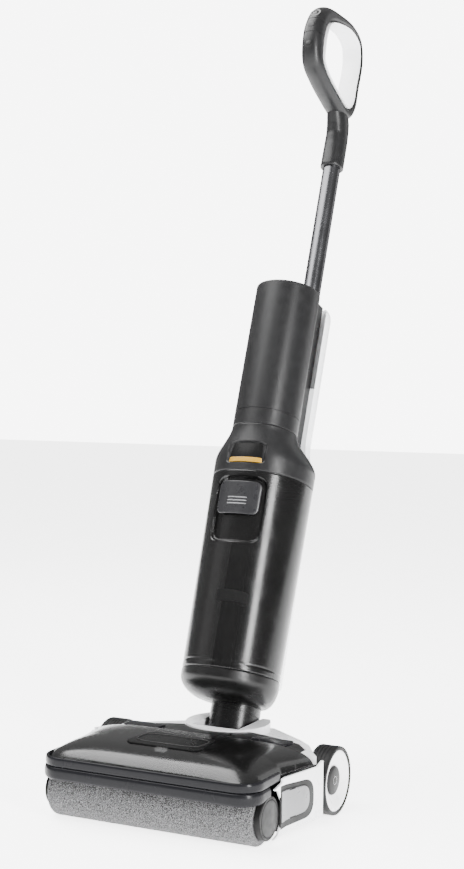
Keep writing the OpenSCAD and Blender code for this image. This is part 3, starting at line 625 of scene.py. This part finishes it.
class WASHER_OT_stage(bpy.types.Operator):
    """Floor, lights and camera"""

    bl_idname = "washer.stage"
    bl_label = "Stage"

    def execute(self, context):
        light_room(context.scene)
        lay_floor(context.scene)
        hang_lights(context.scene)
        set_camera(context.scene)
        return {"FINISHED"}


# ---- Handle ------------------------------------------------------------------
# Middle of the grip: distance behind the tilt hinge, height and half depth.
LOOP = (
    (-106, 1012, 15.5), (-106, 1040, 15), (-92, 1067, 13), (-50, 1086, 9),
    (-10, 1096, 7.5), (22, 1091, 7.5), (37, 1064, 7.5), (37, 1022, 7.5),
    (36, 988, 8.5), (18, 968, 10), (-28, 970, 9.5), (-70, 977, 10), (-96, 988, 13),
)
# Seams across the grip, as places along the loop counted in its points.
SEAMS = (0.42, 1.12)


def loop_at(s):
    """Middle of the grip at s along the loop: rear offset, height, half depth."""
    n = len(LOOP)
    i = math.floor(s)
    u = s - i
    p0, p1, p2, p3 = (Vector(LOOP[(i + k) % n]) for k in (-1, 0, 1, 2))
    return 0.5 * (
        2 * p1 + (p2 - p0) * u + (2 * p0 - 5 * p1 + 4 * p2 - p3) * u * u
        + (3 * p1 - p0 - 3 * p2 + p3) * u**3
    )


def loop_point(s, x, out):
    """A point at width x and distance out from the middle of the grip."""
    c = loop_at(s)
    a, b = loop_at(s - 0.1), loop_at(s + 0.1)
    d = Vector((b[0] - a[0], b[1] - a[1])).normalized()
    return Vector((x, c[0] - out * d[1], c[1] + out * d[0]))


class WASHER_OT_handle(bpy.types.Operator):
    """Loop handle, its pale insert and the stem"""

    bl_idname = "washer.handle"
    bl_label = "Handle"

    def execute(self, context):
        h = handle_sizes()
        m = make_materials()
        n = len(LOOP)
        rows = [i * n / 208 for i in range(208)]
        for seam in SEAMS:
            rows += [seam + k for k in (-0.02, -0.012, 0.012, 0.02)]
        rows = sorted(rows) + [n]

        def grip(u, v):
            s = rows[round(v * (len(rows) - 1))]
            deep = loop_at(s)[2]
            groove = any(abs(s - seam) < 0.015 for seam in SEAMS)
            a = math.tau * u - math.pi / 2
            cut = 0.5 if groove and math.sin(a) > -0.2 else 0.0
            x = (h.half_width - cut) * signed_pow(math.cos(a), 0.9)
            out = (deep - cut) * signed_pow(math.sin(a), 0.95)
            return loop_point(s, x, max(out, h.insert_t - deep))

        finish_piece(
            surface(48, len(rows) - 1, grip, False), "handle_loop", BODY, m["dark"],
            "stick", ("handle_left", "handle_right"), "dark_plastic", limit=50,
        )

        def pale(u, v):
            s = n * v
            deep = loop_at(s)[2]
            a = math.tau * u
            x = signed_pow(math.cos(a), 0.3) * (h.half_width - 0.7)
            lift = signed_pow(math.sin(a), 0.5) * h.insert_t / 2
            bulge = 0.9 * (1 - (x / h.half_width) ** 2)
            return loop_point(s, x, h.insert_t / 2 - deep + lift - bulge * (lift < 0))

        finish_piece(
            surface(40, 208, pale, False), "handle_inlay", BODY, m["white"], "stick",
            ("handle_insert",), "white_plastic",
        )
        low, r = h.stem_z0, h.stem_r
        # Height, middle behind the hinge, half width and half depth.
        stem = (
            (low, TUBE_C, r - 1.7, r - 1.7), (low, TUBE_C, r - 0.7, r - 0.7),
            (low + 1, TUBE_C, r, r), (low + 22, TUBE_C, r - 0.1, r - 0.1),
            (low + 40, 22.4, 16.9, 17.8), (low + 54, 22.2, 16.3, 19.0),
            (low + 66, 20.4, 15.8, 21.4), (low + 76, 17.4, 15.4, 24.0),
            (low + 83, 14, 14.8, 24.5), (low + 87, 12, 13.5, 21), (low + 90, 11, 11, 15),
        )

        def shaft(u, v):
            k = v * (len(stem) - 1)
            i = min(int(k), len(stem) - 2)
            z, c, half_x, half_y = (mix(a, b, k - i) for a, b in zip(stem[i], stem[i + 1]))
            a = math.tau * u
            return Vector((half_x * math.cos(a), c + half_y * math.sin(a), z))

        finish_piece(
            surface(64, 6 * (len(stem) - 1), shaft), "handle_stem_shell", BODY, m["dark"],
            "stick", ("handle_stem",), "dark_plastic",
        )
        dress(m["metal"], "stick_tube")
        dress(m["gloss"], "button_panel")
        dress(m["black"], "power_button")
        dress(m["dark"], "mode_button")
        dress(m["gloss"], "self_clean_button")
        return {"FINISHED"}


# ---- Body --------------------------------------------------------------------
class WASHER_OT_upper(bpy.types.Operator):
    """Upper housing, shoulder and display"""

    bl_idname = "washer.upper"
    bl_label = "Upper body"

    def execute(self, context):
        b = body_sizes()
        m = make_materials()
        r = b.housing_r
        z0 = b.shoulder_z + 0.5
        seam = b.shoulder_z + 22
        profile = (
            (0, z0), (r - 0.6, z0), (r, z0 + 0.6), (r, seam - 0.5), (r - 0.6, seam - 0.3),
            (r - 0.6, seam + 0.3), (r, seam + 0.5), (r, b.body_z - 3.2),
            (r - 0.2, b.body_z - 3.0), (r - 0.2, b.body_z - 2.7), (r, b.body_z - 2.5),
            (r - 0.1, b.body_z - 1.2), (r - 0.5, b.body_z - 0.4), (r - 1.2, b.body_z),
            (r - 2.6, b.body_z), (r - 3.2, b.body_z - 1.2), (r - 5, b.body_z - 1.6),
            (0, b.body_z - 1.6),
        )
        housing = lathe(profile, steps=160)
        bmesh.ops.translate(housing, verts=housing.verts, vec=(0, HOUSING_C, 0))
        finish_piece(
            housing, "upper_housing", BODY, m["dark"], "body", ("motor_housing",),
            "dark_plastic",
        )
        low = b.tank_z1 + 0.5
        top = b.shoulder_z
        recess = Recess(
            depth=3.4, half_width=29, z0=b.tank_z1 + 9, z1=b.tank_z1 + 41, edge=2.2
        )

        def shoulder(u, v):
            z = mix(low, top, v)
            near = min(z - low, top - z)
            ease = 0.6 * (1 - min(1.0, near / 0.8))
            return body_point(u, z, body_r(z) - ease, body_c(z), 4, recess)

        finish_piece(
            surface(300, 84, shoulder), "shoulder_shell", BODY, m["dark"], "body",
            ("shoulder",), "dark_plastic",
        )
        face = front_pad(
            24, 21, b.tank_z1 + 17.5, b.tank_z1 + 38.5, off=2.2, t=1.6, corner=3
        )
        finish_piece(
            face, "display_face", BODY, m["display"], "body", ("display_glass",),
            "black_gloss",
        )
        strip = front_pad(
            24.5, 23.4, b.tank_z1 + 11.2, b.tank_z1 + 17.8, off=1.2, t=2, corner=1.2
        )
        finish_piece(
            strip, "display_band", BODY, m["yellow"], "body", ("display_lens",),
            "display_yellow",
        )
        dress(m["black"], "body_frame")
        dress(m["steel"], "suction_motor")
        dress(m["board"], "circuit_board")
        dress(m["wrap"], "battery_pack")
        return {"FINISHED"}


class WASHER_OT_dirty_tank(bpy.types.Operator):
    """Smoked dirty water tank and its latch"""

    bl_idname = "washer.dirty_tank"
    bl_label = "Dirty tank"

    def execute(self, context):
        b = body_sizes()
        m = make_materials()
        z0, z1 = b.tank_z0, b.tank_z1
        latch0, latch1 = z1 - 99, z1 - 8
        groove = z0 + 9
        recess = Recess(depth=6, half_width=37, z0=latch0, z1=latch1, edge=3.5)

        def tank(u, v):
            z = mix(z0, z1, v)
            near = min(z - z0, z1 - z)
            ease = 0.9 * (1 - min(1.0, near / 1.2)) ** 2
            ease += 0.7 * math.exp(-(((z - groove) / 0.9) ** 2))
            return body_point(u, z, body_r(z) - ease, TANK_C, 4, recess)

        finish_piece(
            surface(288, 220, tank), "dirty_tank_shell", BODY, m["smoke"], "dirty_tank",
            ("dirty_tank",), "smoked_clear",
        )
        bed = front_pad(36, 36, latch0 + 2, latch1 - 2, off=6.3, t=0.5, corner=12)
        finish_piece(bed, "latch_bed", BODY, m["display"], "dirty_tank", (), "black_gloss")
        low, high = latch0 + 38, latch1 - 8
        key = front_pad(
            30.5, 31, low, high, off=-1.5, t=4, corner=9, nu=96, nv=60, edge=1.4
        )
        finish_piece(
            key, "latch_key", BODY, m["key"], "latch", ("tank_latch",), "dark_plastic"
        )
        for i in range(3):
            z = low + 13 + i * 4.2
            rib = front_pad(
                14, 14, z, z + 1.5, off=-2.0, t=1.2, corner=0.5, nu=32, nv=10, edge=0.5
            )
            finish_piece(
                rib, f"latch_rib_{i + 1}", BODY, m["silver"], "latch", (), "dark_plastic"
            )
        dress(m["black"], "tank_lid")
        dress(m["foam"], "tank_filter")
        dress(m["silver"], "inlet_pipe")
        dress(m["white"], "tank_float")
        return {"FINISHED"}


def clean_outline(z, inset, channel):
    """Plan of the clean tank: rounded back, flat front, channel for the stick."""
    b = body_sizes()
    u = smooth((z - flare_z0() + 20) / (b.shoulder_z - flare_z0() + 30))
    half = mix(b.foot_r - 15, 35.5, u) - inset
    d0 = 8.5 + inset
    deep = b.rear_depth - 8.5 - 2 * inset
    points = [
        (half * signed_pow(math.cos(a), 0.75), d0 + deep * abs(math.sin(a)) ** 0.8)
        for a in (math.radians(3 * i) for i in range(61))
    ]
    channel_r = 17.0
    for i in range(25):
        a = math.pi - math.radians(7.5 * i)
        d = TUBE_C + channel_r * math.sin(a) if channel else d0 + 0.3
        points.append((channel_r * math.cos(a), d))
    return points


class WASHER_OT_clean_tank(bpy.types.Operator):
    """Milky clean water tank at the rear"""

    bl_idname = "washer.clean_tank"
    bl_label = "Clean tank"

    def execute(self, context):
        b = body_sizes()
        m = make_materials()
        low, top = b.tank_z0 - 6, b.body_z
        cut = top - 122
        round_r = 12
        zs = [low, low + 0.6, low + 2, low + 4]
        zs += [mix(low + 8, cut - 1, i / 70) for i in range(71)]
        zs += [cut, mix(cut, top, 0.2), mix(cut, top, 0.5), top - round_r]
        zs += [top - round_r + round_r * math.sin(math.radians(a)) for a in range(9, 91, 9)]

        def tank(u, v):
            z = zs[round(v * (len(zs) - 1))]
            foot = max(0.0, 1 - (z - low) / 4)
            head = max(0.0, (z - top + round_r) / round_r)
            inset = 3 * foot**2 + 5 * (1 - math.sqrt(max(0.0, 1 - head * head)))
            points = clean_outline(z, inset, z >= cut)
            x, d = points[round(u * len(points)) % len(points)]
            return Vector((x, d, z))

        finish_piece(
            surface(86, len(zs) - 1, tank), "clean_tank_shell", BODY, m["milky"],
            "clean_tank", ("clean_tank", "clean_tank_top"), "milky_clear",
        )
        dress(m["black"], "filler_cap")
        return {"FINISHED"}


class WASHER_OT_base(bpy.types.Operator):
    """Base cap and neck"""

    bl_idname = "washer.base"
    bl_label = "Base and neck"

    def execute(self, context):
        b = body_sizes()
        m = make_materials()
        low, top = 69.0, b.tank_z0 - 0.5

        def cap(u, v):
            z = mix(low, top, 1 - math.cos(v * math.pi / 2))
            k = math.sin(math.pi / 2 * min(1.0, (z - low) / 27)) ** 0.38
            r = mix(b.neck_r, b.foot_r, k)
            r -= 0.8 * max(0.0, 1 - (top - z) / 1.0) ** 2
            return body_point(u, z, r, TANK_C * k, mix(b.neck_r, 8.0, k))

        finish_piece(
            surface(240, 72, cap), "base_shell", BODY, m["black"], "body", ("base_cap",),
            "black_plastic",
        )
        dress(m["gloss"], "neck_lower", "neck_upper")
        dress(m["steel"], "swivel_pin")
        return {"FINISHED"}


# ---- Head --------------------------------------------------------------------
def band_path(out, corner, front, back, count=96):
    """Plan points and outward directions of a band round the head's front."""
    points = []
    half = math.pi / 2
    straight = out - corner
    for i in range(count + 1):
        u = 2 * i / count - 1
        s = 1 if u >= 0 else -1
        u = abs(u)
        if u < 0.45:
            points.append((s * straight * u / 0.45, front, 0, -1))
        elif u < 0.85:
            a = half * (u - 0.45) / 0.4
            points.append(
                (
                    s * (straight + corner * math.sin(a)),
                    front + corner - corner * math.cos(a), s * math.sin(a), -math.cos(a),
                )
            )
        else:
            points.append((s * out, mix(front + corner, back, (u - 0.85) / 0.15), s, 0))
    return points


def band(out, front, back, z0, z1, t, square, corner=30):
    """A strip of thickness t round the head's front, from z0 to z1."""
    path = band_path(out, corner, front, back)

    def place(u, v):
        x, y, nx, ny = path[round(v * (len(path) - 1))]
        a = math.tau * u
        c = signed_pow(math.cos(a), square)
        s = signed_pow(math.sin(a), square)
        off = t / 2 * (c - 1)
        return Vector((x + nx * off, y + ny * off, mix(z0, z1, (s + 1) / 2)))

    return surface(40, len(path) - 1, place)


class WASHER_OT_cover(bpy.types.Operator):
    """Smoked roller cover, its bands and bumper"""

    bl_idname = "washer.cover"
    bl_label = "Roller cover"

    def execute(self, context):
        h = head_sizes()
        m = make_materials()
        y0, y1 = -38.0, 102.0
        mid, half = (y0 + y1) / 2, (y1 - y0) / 2
        high = h.cover_z - h.deck_z

        corner = 30

        def width(y):
            ahead = max(0.0, y0 + corner - y)
            nose = corner - math.sqrt(max(0.0, corner * corner - ahead**2))
            return h.end_x - 2 + side_flare(y) - nose

        def arch(w):
            return math.sqrt(max(0.0, 1 - (-w) ** 2.6)) if w < 0 else 1 - 0.14 * w * w

        def shell(u, v):
            a = -1 + 2 * u
            across = math.sin(a * math.pi / 2)
            w = -math.cos(math.pi * v)
            y = mid + half * w
            fall = max(0.12, math.sqrt(max(0.0, 1 - abs(across) ** 5)))
            return Vector((across * width(y), y, h.deck_z + high * fall * arch(w)))

        cover = finish_piece(
            surface(140, 96, shell, False), "cover_shell", HEAD, m["veil"], "cover",
            ("roller_cover",), "smoked_clear",
        )
        wall = cover.modifiers.new("Wall", "SOLIDIFY")
        wall.thickness = 0.0018
        wall.offset = -1
        bumper = band(h.end_x + 1, -44, 4, 54.5, 69.9, t=7, square=0.75)
        finish_piece(
            bumper, "bumper_strip", HEAD, m["lip"], "cover", ("front_bumper",), "rubber"
        )
        lip = band(h.end_x + 0.4, -42.6, 30, 70.2, 81.8, t=5, square=0.7)
        finish_piece(
            lip, "cover_lip", HEAD, m["lip"], "cover", ("cover_band",), "dark_plastic"
        )
        dress(m["display"], "cover_window")

        def top_of(x, y):
            fall = math.sqrt(1 - abs(x / width(y)) ** 5)
            return h.deck_z + high * fall * arch((y - mid) / half)

        def ring(u, v):
            a, b = math.tau * u, math.tau * v
            x = 45 * signed_pow(math.cos(a), 0.4)
            y = 36 + 20 * signed_pow(math.sin(a), 0.5)
            out = Vector((math.cos(a), math.sin(a)))
            x += 1.1 * math.cos(b) * out.x
            y += 1.1 * math.cos(b) * out.y
            return Vector((x, y, top_of(x, y) + 1.4 + 0.9 * math.sin(b)))

        finish_piece(
            surface(96, 12, ring, False), "window_rim", HEAD, m["grey"], "cover", (),
            "grey_plastic",
        )
        return {"FINISHED"}


def lie_on_side(bm, s, off):
    """A plate in (y, z) follows the head's side, which widens towards the wheels."""
    h = head_sizes()
    for v in bm.verts:
        v.co.x = s * (h.end_x + off + v.co.x + side_flare(v.co.y))


def latch_block(s):
    """A block over a rear corner of the cover, lying flat."""
    bm = plate(rounded([(-29, -13, 7), (29, -13, 7), (24, 13, 7), (-24, 13, 7)]), 4, 1.4)
    for angle, axis in ((-math.pi / 2, "Y"), (math.pi / 2, "Z")):
        bmesh.ops.rotate(
            bm, verts=bm.verts, cent=(0, 0, 0), matrix=Matrix.Rotation(angle, 3, axis)
        )
    bmesh.ops.translate(bm, verts=bm.verts, vec=(s * 92, 122, head_sizes().cover_z - 10.5))
    return bm


class WASHER_OT_head(bpy.types.Operator):
    """Side panels, bridge, neck ring and sole"""

    bl_idname = "washer.head"
    bl_label = "Floor head"

    def execute(self, context):
        m = make_materials()
        h = head_sizes()
        dress(m["white"], "neck_ring")
        dress(m["black"], "top_bridge", "sole_plate", "spray_bar", "belt_cover",
              "suction_duct", "drive_dog", "motor_pulley")
        dress(m["dark"], "head_chassis")
        dress(m["rubber"], "scraper_blade", "drive_belt")
        dress(m["steel"], "weight_plate", "drive_motor", "head_pins", "sole_screws")
        dress(m["brass"], "charge_contacts")
        top = h.deck_z - 0.6
        outline = rounded(
            [(3, 6, 1), (115.5, 10, 1.5), (115.5, top + 6.2, 1.5), (104, top, 0),
             (32, top, 0.8), (32, 69.4, 0.8), (8, 65, 1), (20, 62, 1), (34, 40, 3),
             (34, 26, 3), (20, 10, 2)], steps=4,
        )
        for side, s in (("left", -1), ("right", 1)):
            bm = plate(outline, 3, 0.5)
            lie_on_side(bm, s, 0)
            finish_piece(
                bm, f"side_cheek_{side}", HEAD, m["white"], "head",
                (f"side_panel_{side}",), "white_plastic",
            )
        for side, s in (("left", -1), ("right", 1)):
            finish_piece(
                latch_block(s), f"latch_block_{side}", HEAD, m["lip"], "head", (),
                "black_plastic",
            )
        return {"FINISHED"}


class WASHER_OT_roller(bpy.types.Operator):
    """Fabric roller, core and end lever"""

    bl_idname = "washer.roller"
    bl_label = "Roller"

    def execute(self, context):
        h = head_sizes()
        m = make_materials()
        r, half = h.roller_r, h.roller_half
        rim = 5

        def pile(u, v):
            x = mix(-half, half, v)
            near = half - abs(x)
            ease = rim * (1 - math.sqrt(max(0.0, 1 - max(0.0, 1 - near / rim) ** 2)))
            a = math.tau * u
            spot = Vector((x, 40 * math.cos(a), 40 * math.sin(a)))
            fuzz = 0.45 * noise.noise(spot * 0.55) + 0.25 * noise.noise(spot * 1.4)
            out = r - 0.35 - ease + fuzz
            return Vector((x, out * math.cos(a), r + out * math.sin(a)))

        finish_piece(
            surface(260, 300, pile), "roller_pile", HEAD, m["pile"], "roller",
            ("roller_fabric",), "roller_fabric", limit=180,
        )
        dress(m["metal"], "roller_core")
        face = h.end_x
        disc = lathe(
            ((0, face + 1.4), (20.5, face + 1.4), (21.3, face + 1.2), (21.6, face + 0.4),
             (21.6, face - 2), (0, face - 2), (0, face + 1.4)), "X",
        )
        ring = lathe(
            ((21.8, face - 2), (21.8, face + 0.7), (22.2, face + 1.1), (25, face + 1),
             (26, face), (26, half + 1.4), (21.8, half + 1.4), (21.8, face - 2)), "X",
        )
        for bm, name, mat, nodes in (
            (disc, "end_disc", m["grey"], ("roller_end_cap",)),
            (ring, "end_ring", m["rubber"], ()),
        ):
            bmesh.ops.translate(bm, verts=bm.verts, vec=(0, 0, r))
            finish_piece(bm, name, HEAD, mat, "roller_carrier", nodes, "grey_plastic")
        # Layers of the lever: name, depth, corners in (y, z), rear corners' radius, finish.
        layers = (
            ("lever_bed", 1.8, ((26, 14), (96, 16), (96, 62), (26, 66)), 20, m["grey"]),
            ("lever_outline", 2.2, ((27, 20), (88, 23), (88, 58), (27, 61)), 17, m["rubber"]),
            ("lever_plate", 2.8, ((28, 22), (86, 25), (86, 56), (28, 59)), 15, m["silver"]),
        )
        for name, depth, corners, bend, mat in layers:
            radii = (1.5, bend, bend, 1.5)
            outline = [(*corner, radius) for corner, radius in zip(corners, radii)]
            bm = plate(rounded(outline, steps=10), depth, 0.35)
            lie_on_side(bm, 1, 1.5)
            finish_piece(bm, name, HEAD, mat, "roller_carrier", (), "grey_plastic")
        for i, (y, z) in enumerate(((52, 57.2), (53, 23.8))):
            outline = [
                (y + dy, z + dz, 0.4) for dy, dz in ((-6, -0.6), (6, -0.6), (6, 0.6), (-6, 0.6))
            ]
            bm = plate(rounded(outline), 2.5, 0.2)
            lie_on_side(bm, 1, 2.0)
            finish_piece(
                bm, f"lever_tick_{i + 1}", HEAD, m["rubber"], "roller_carrier", (), "rubber"
            )
        return {"FINISHED"}


def mount_wheel_part(bm, s):
    """A part turned about X goes to its wheel, mirrored on the left side."""
    h = head_sizes()
    bmesh.ops.translate(bm, verts=bm.verts, vec=(h.wheel_out - h.tyre_w, 0, 0))
    if s < 0:
        bmesh.ops.scale(bm, verts=bm.verts, vec=(-1, 1, 1))
    bmesh.ops.translate(bm, verts=bm.verts, vec=(0, h.wheel_y, h.wheel_r))


class WASHER_OT_wheels(bpy.types.Operator):
    """Rear wheels"""

    bl_idname = "washer.wheels"
    bl_label = "Wheels"

    def execute(self, context):
        h = head_sizes()
        m = make_materials()
        r, w = h.wheel_r, h.tyre_w
        tread = [(r - 5, 0), (r - 1.6, 0), (r - 0.4, 0.6), (r, 2)]
        for i in range(4):
            z = 5.2 + i * 4.6
            tread += [(r, z), (r - 0.7, z + 0.3), (r - 0.7, z + 0.9), (r, z + 1.2)]
        tread += [(r, w - 2.2), (r - 0.4, w - 0.8), (r - 1.6, w), (r - 4.4, w), (r - 5, w - 0.8)]
        tread += [(r - 5, 0)]
        rim = (
            (5.2, w - 4), (0.1, w - 4), (0.1, w - 8.6), (18.2, w - 8.6), (18.6, w - 8.2),
            (19, w - 7.2), (21, w - 6.6), (29, w - 3.4), (33, w - 1.6), (35.5, w - 1),
            (37, w - 1), (37.8, w - 1.6), (38, w - 2.4), (38, 0.4), (37.6, 0), (34, 0),
            (34, 10), (11, 10), (11, 0), (5.2, 0), (5.2, w - 4),
        )
        for side, s in (("left", -1), ("right", 1)):
            for kind, profile, mat, slot in (
                ("tyre", tread, m["rubber"], "tyre"), ("rim", rim, m["white"], "white_plastic")
            ):
                bm = lathe(profile, "X", 120)
                mount_wheel_part(bm, s)
                finish_piece(
                    bm, f"{kind}_{side}_piece", HEAD, mat, f"wheel_{side}",
                    (f"{kind}_{side}",), slot,
                )
            hub = lathe(
                ((0, w - 8.6), (0, w - 3.9), (15, w - 4.2), (17.4, w - 5.4), (18, w - 6.6),
                 (18, w - 8.6), (0, w - 8.6)), "X", 96,
            )
            mount_wheel_part(hub, s)
            finish_piece(
                hub, f"hub_{side}_piece", HEAD, m["grey"], f"wheel_{side}", (),
                "grey_plastic",
            )
        return {"FINISHED"}


# ---- Add-on ------------------------------------------------------------------
STEPS = (
    WASHER_OT_stage, WASHER_OT_handle, WASHER_OT_upper, WASHER_OT_dirty_tank,
    WASHER_OT_clean_tank, WASHER_OT_base, WASHER_OT_cover, WASHER_OT_head,
    WASHER_OT_roller, WASHER_OT_wheels,
)


class WASHER_PT_build(bpy.types.Panel):
    """Steps of the build, and the sizes and colours they read"""

    bl_label = "Floor washer"
    bl_idname = "WASHER_PT_build"
    bl_space_type = "VIEW_3D"
    bl_region_type = "UI"
    bl_category = "Washer"

    def draw(self, context):
        for step in STEPS:
            self.layout.operator(step.bl_idname)
        for group in ("washer_head", "washer_body", "washer_handle", "washer_finish"):
            box = self.layout.box()
            sizes = getattr(context.scene, group)
            for name in sizes.__annotations__:
                box.prop(sizes, name)


CLASSES = (HeadSizes, BodySizes, HandleSizes, Finishes, *STEPS, WASHER_PT_build)


def register():
    for cls in CLASSES:
        bpy.utils.register_class(cls)
    bpy.types.Scene.washer_head = bpy.props.PointerProperty(type=HeadSizes)
    bpy.types.Scene.washer_body = bpy.props.PointerProperty(type=BodySizes)
    bpy.types.Scene.washer_handle = bpy.props.PointerProperty(type=HandleSizes)
    bpy.types.Scene.washer_finish = bpy.props.PointerProperty(type=Finishes)


def unregister():
    for name in ("washer_head", "washer_body", "washer_handle", "washer_finish"):
        delattr(bpy.types.Scene, name)
    for cls in reversed(CLASSES):
        bpy.utils.unregister_class(cls)


def main():
    register()
    for step in STEPS:
        group, name = step.bl_idname.split(".")
        getattr(getattr(bpy.ops, group), name)()
    bpy.context.view_layer.update()


if __name__ == "__main__":
    main()
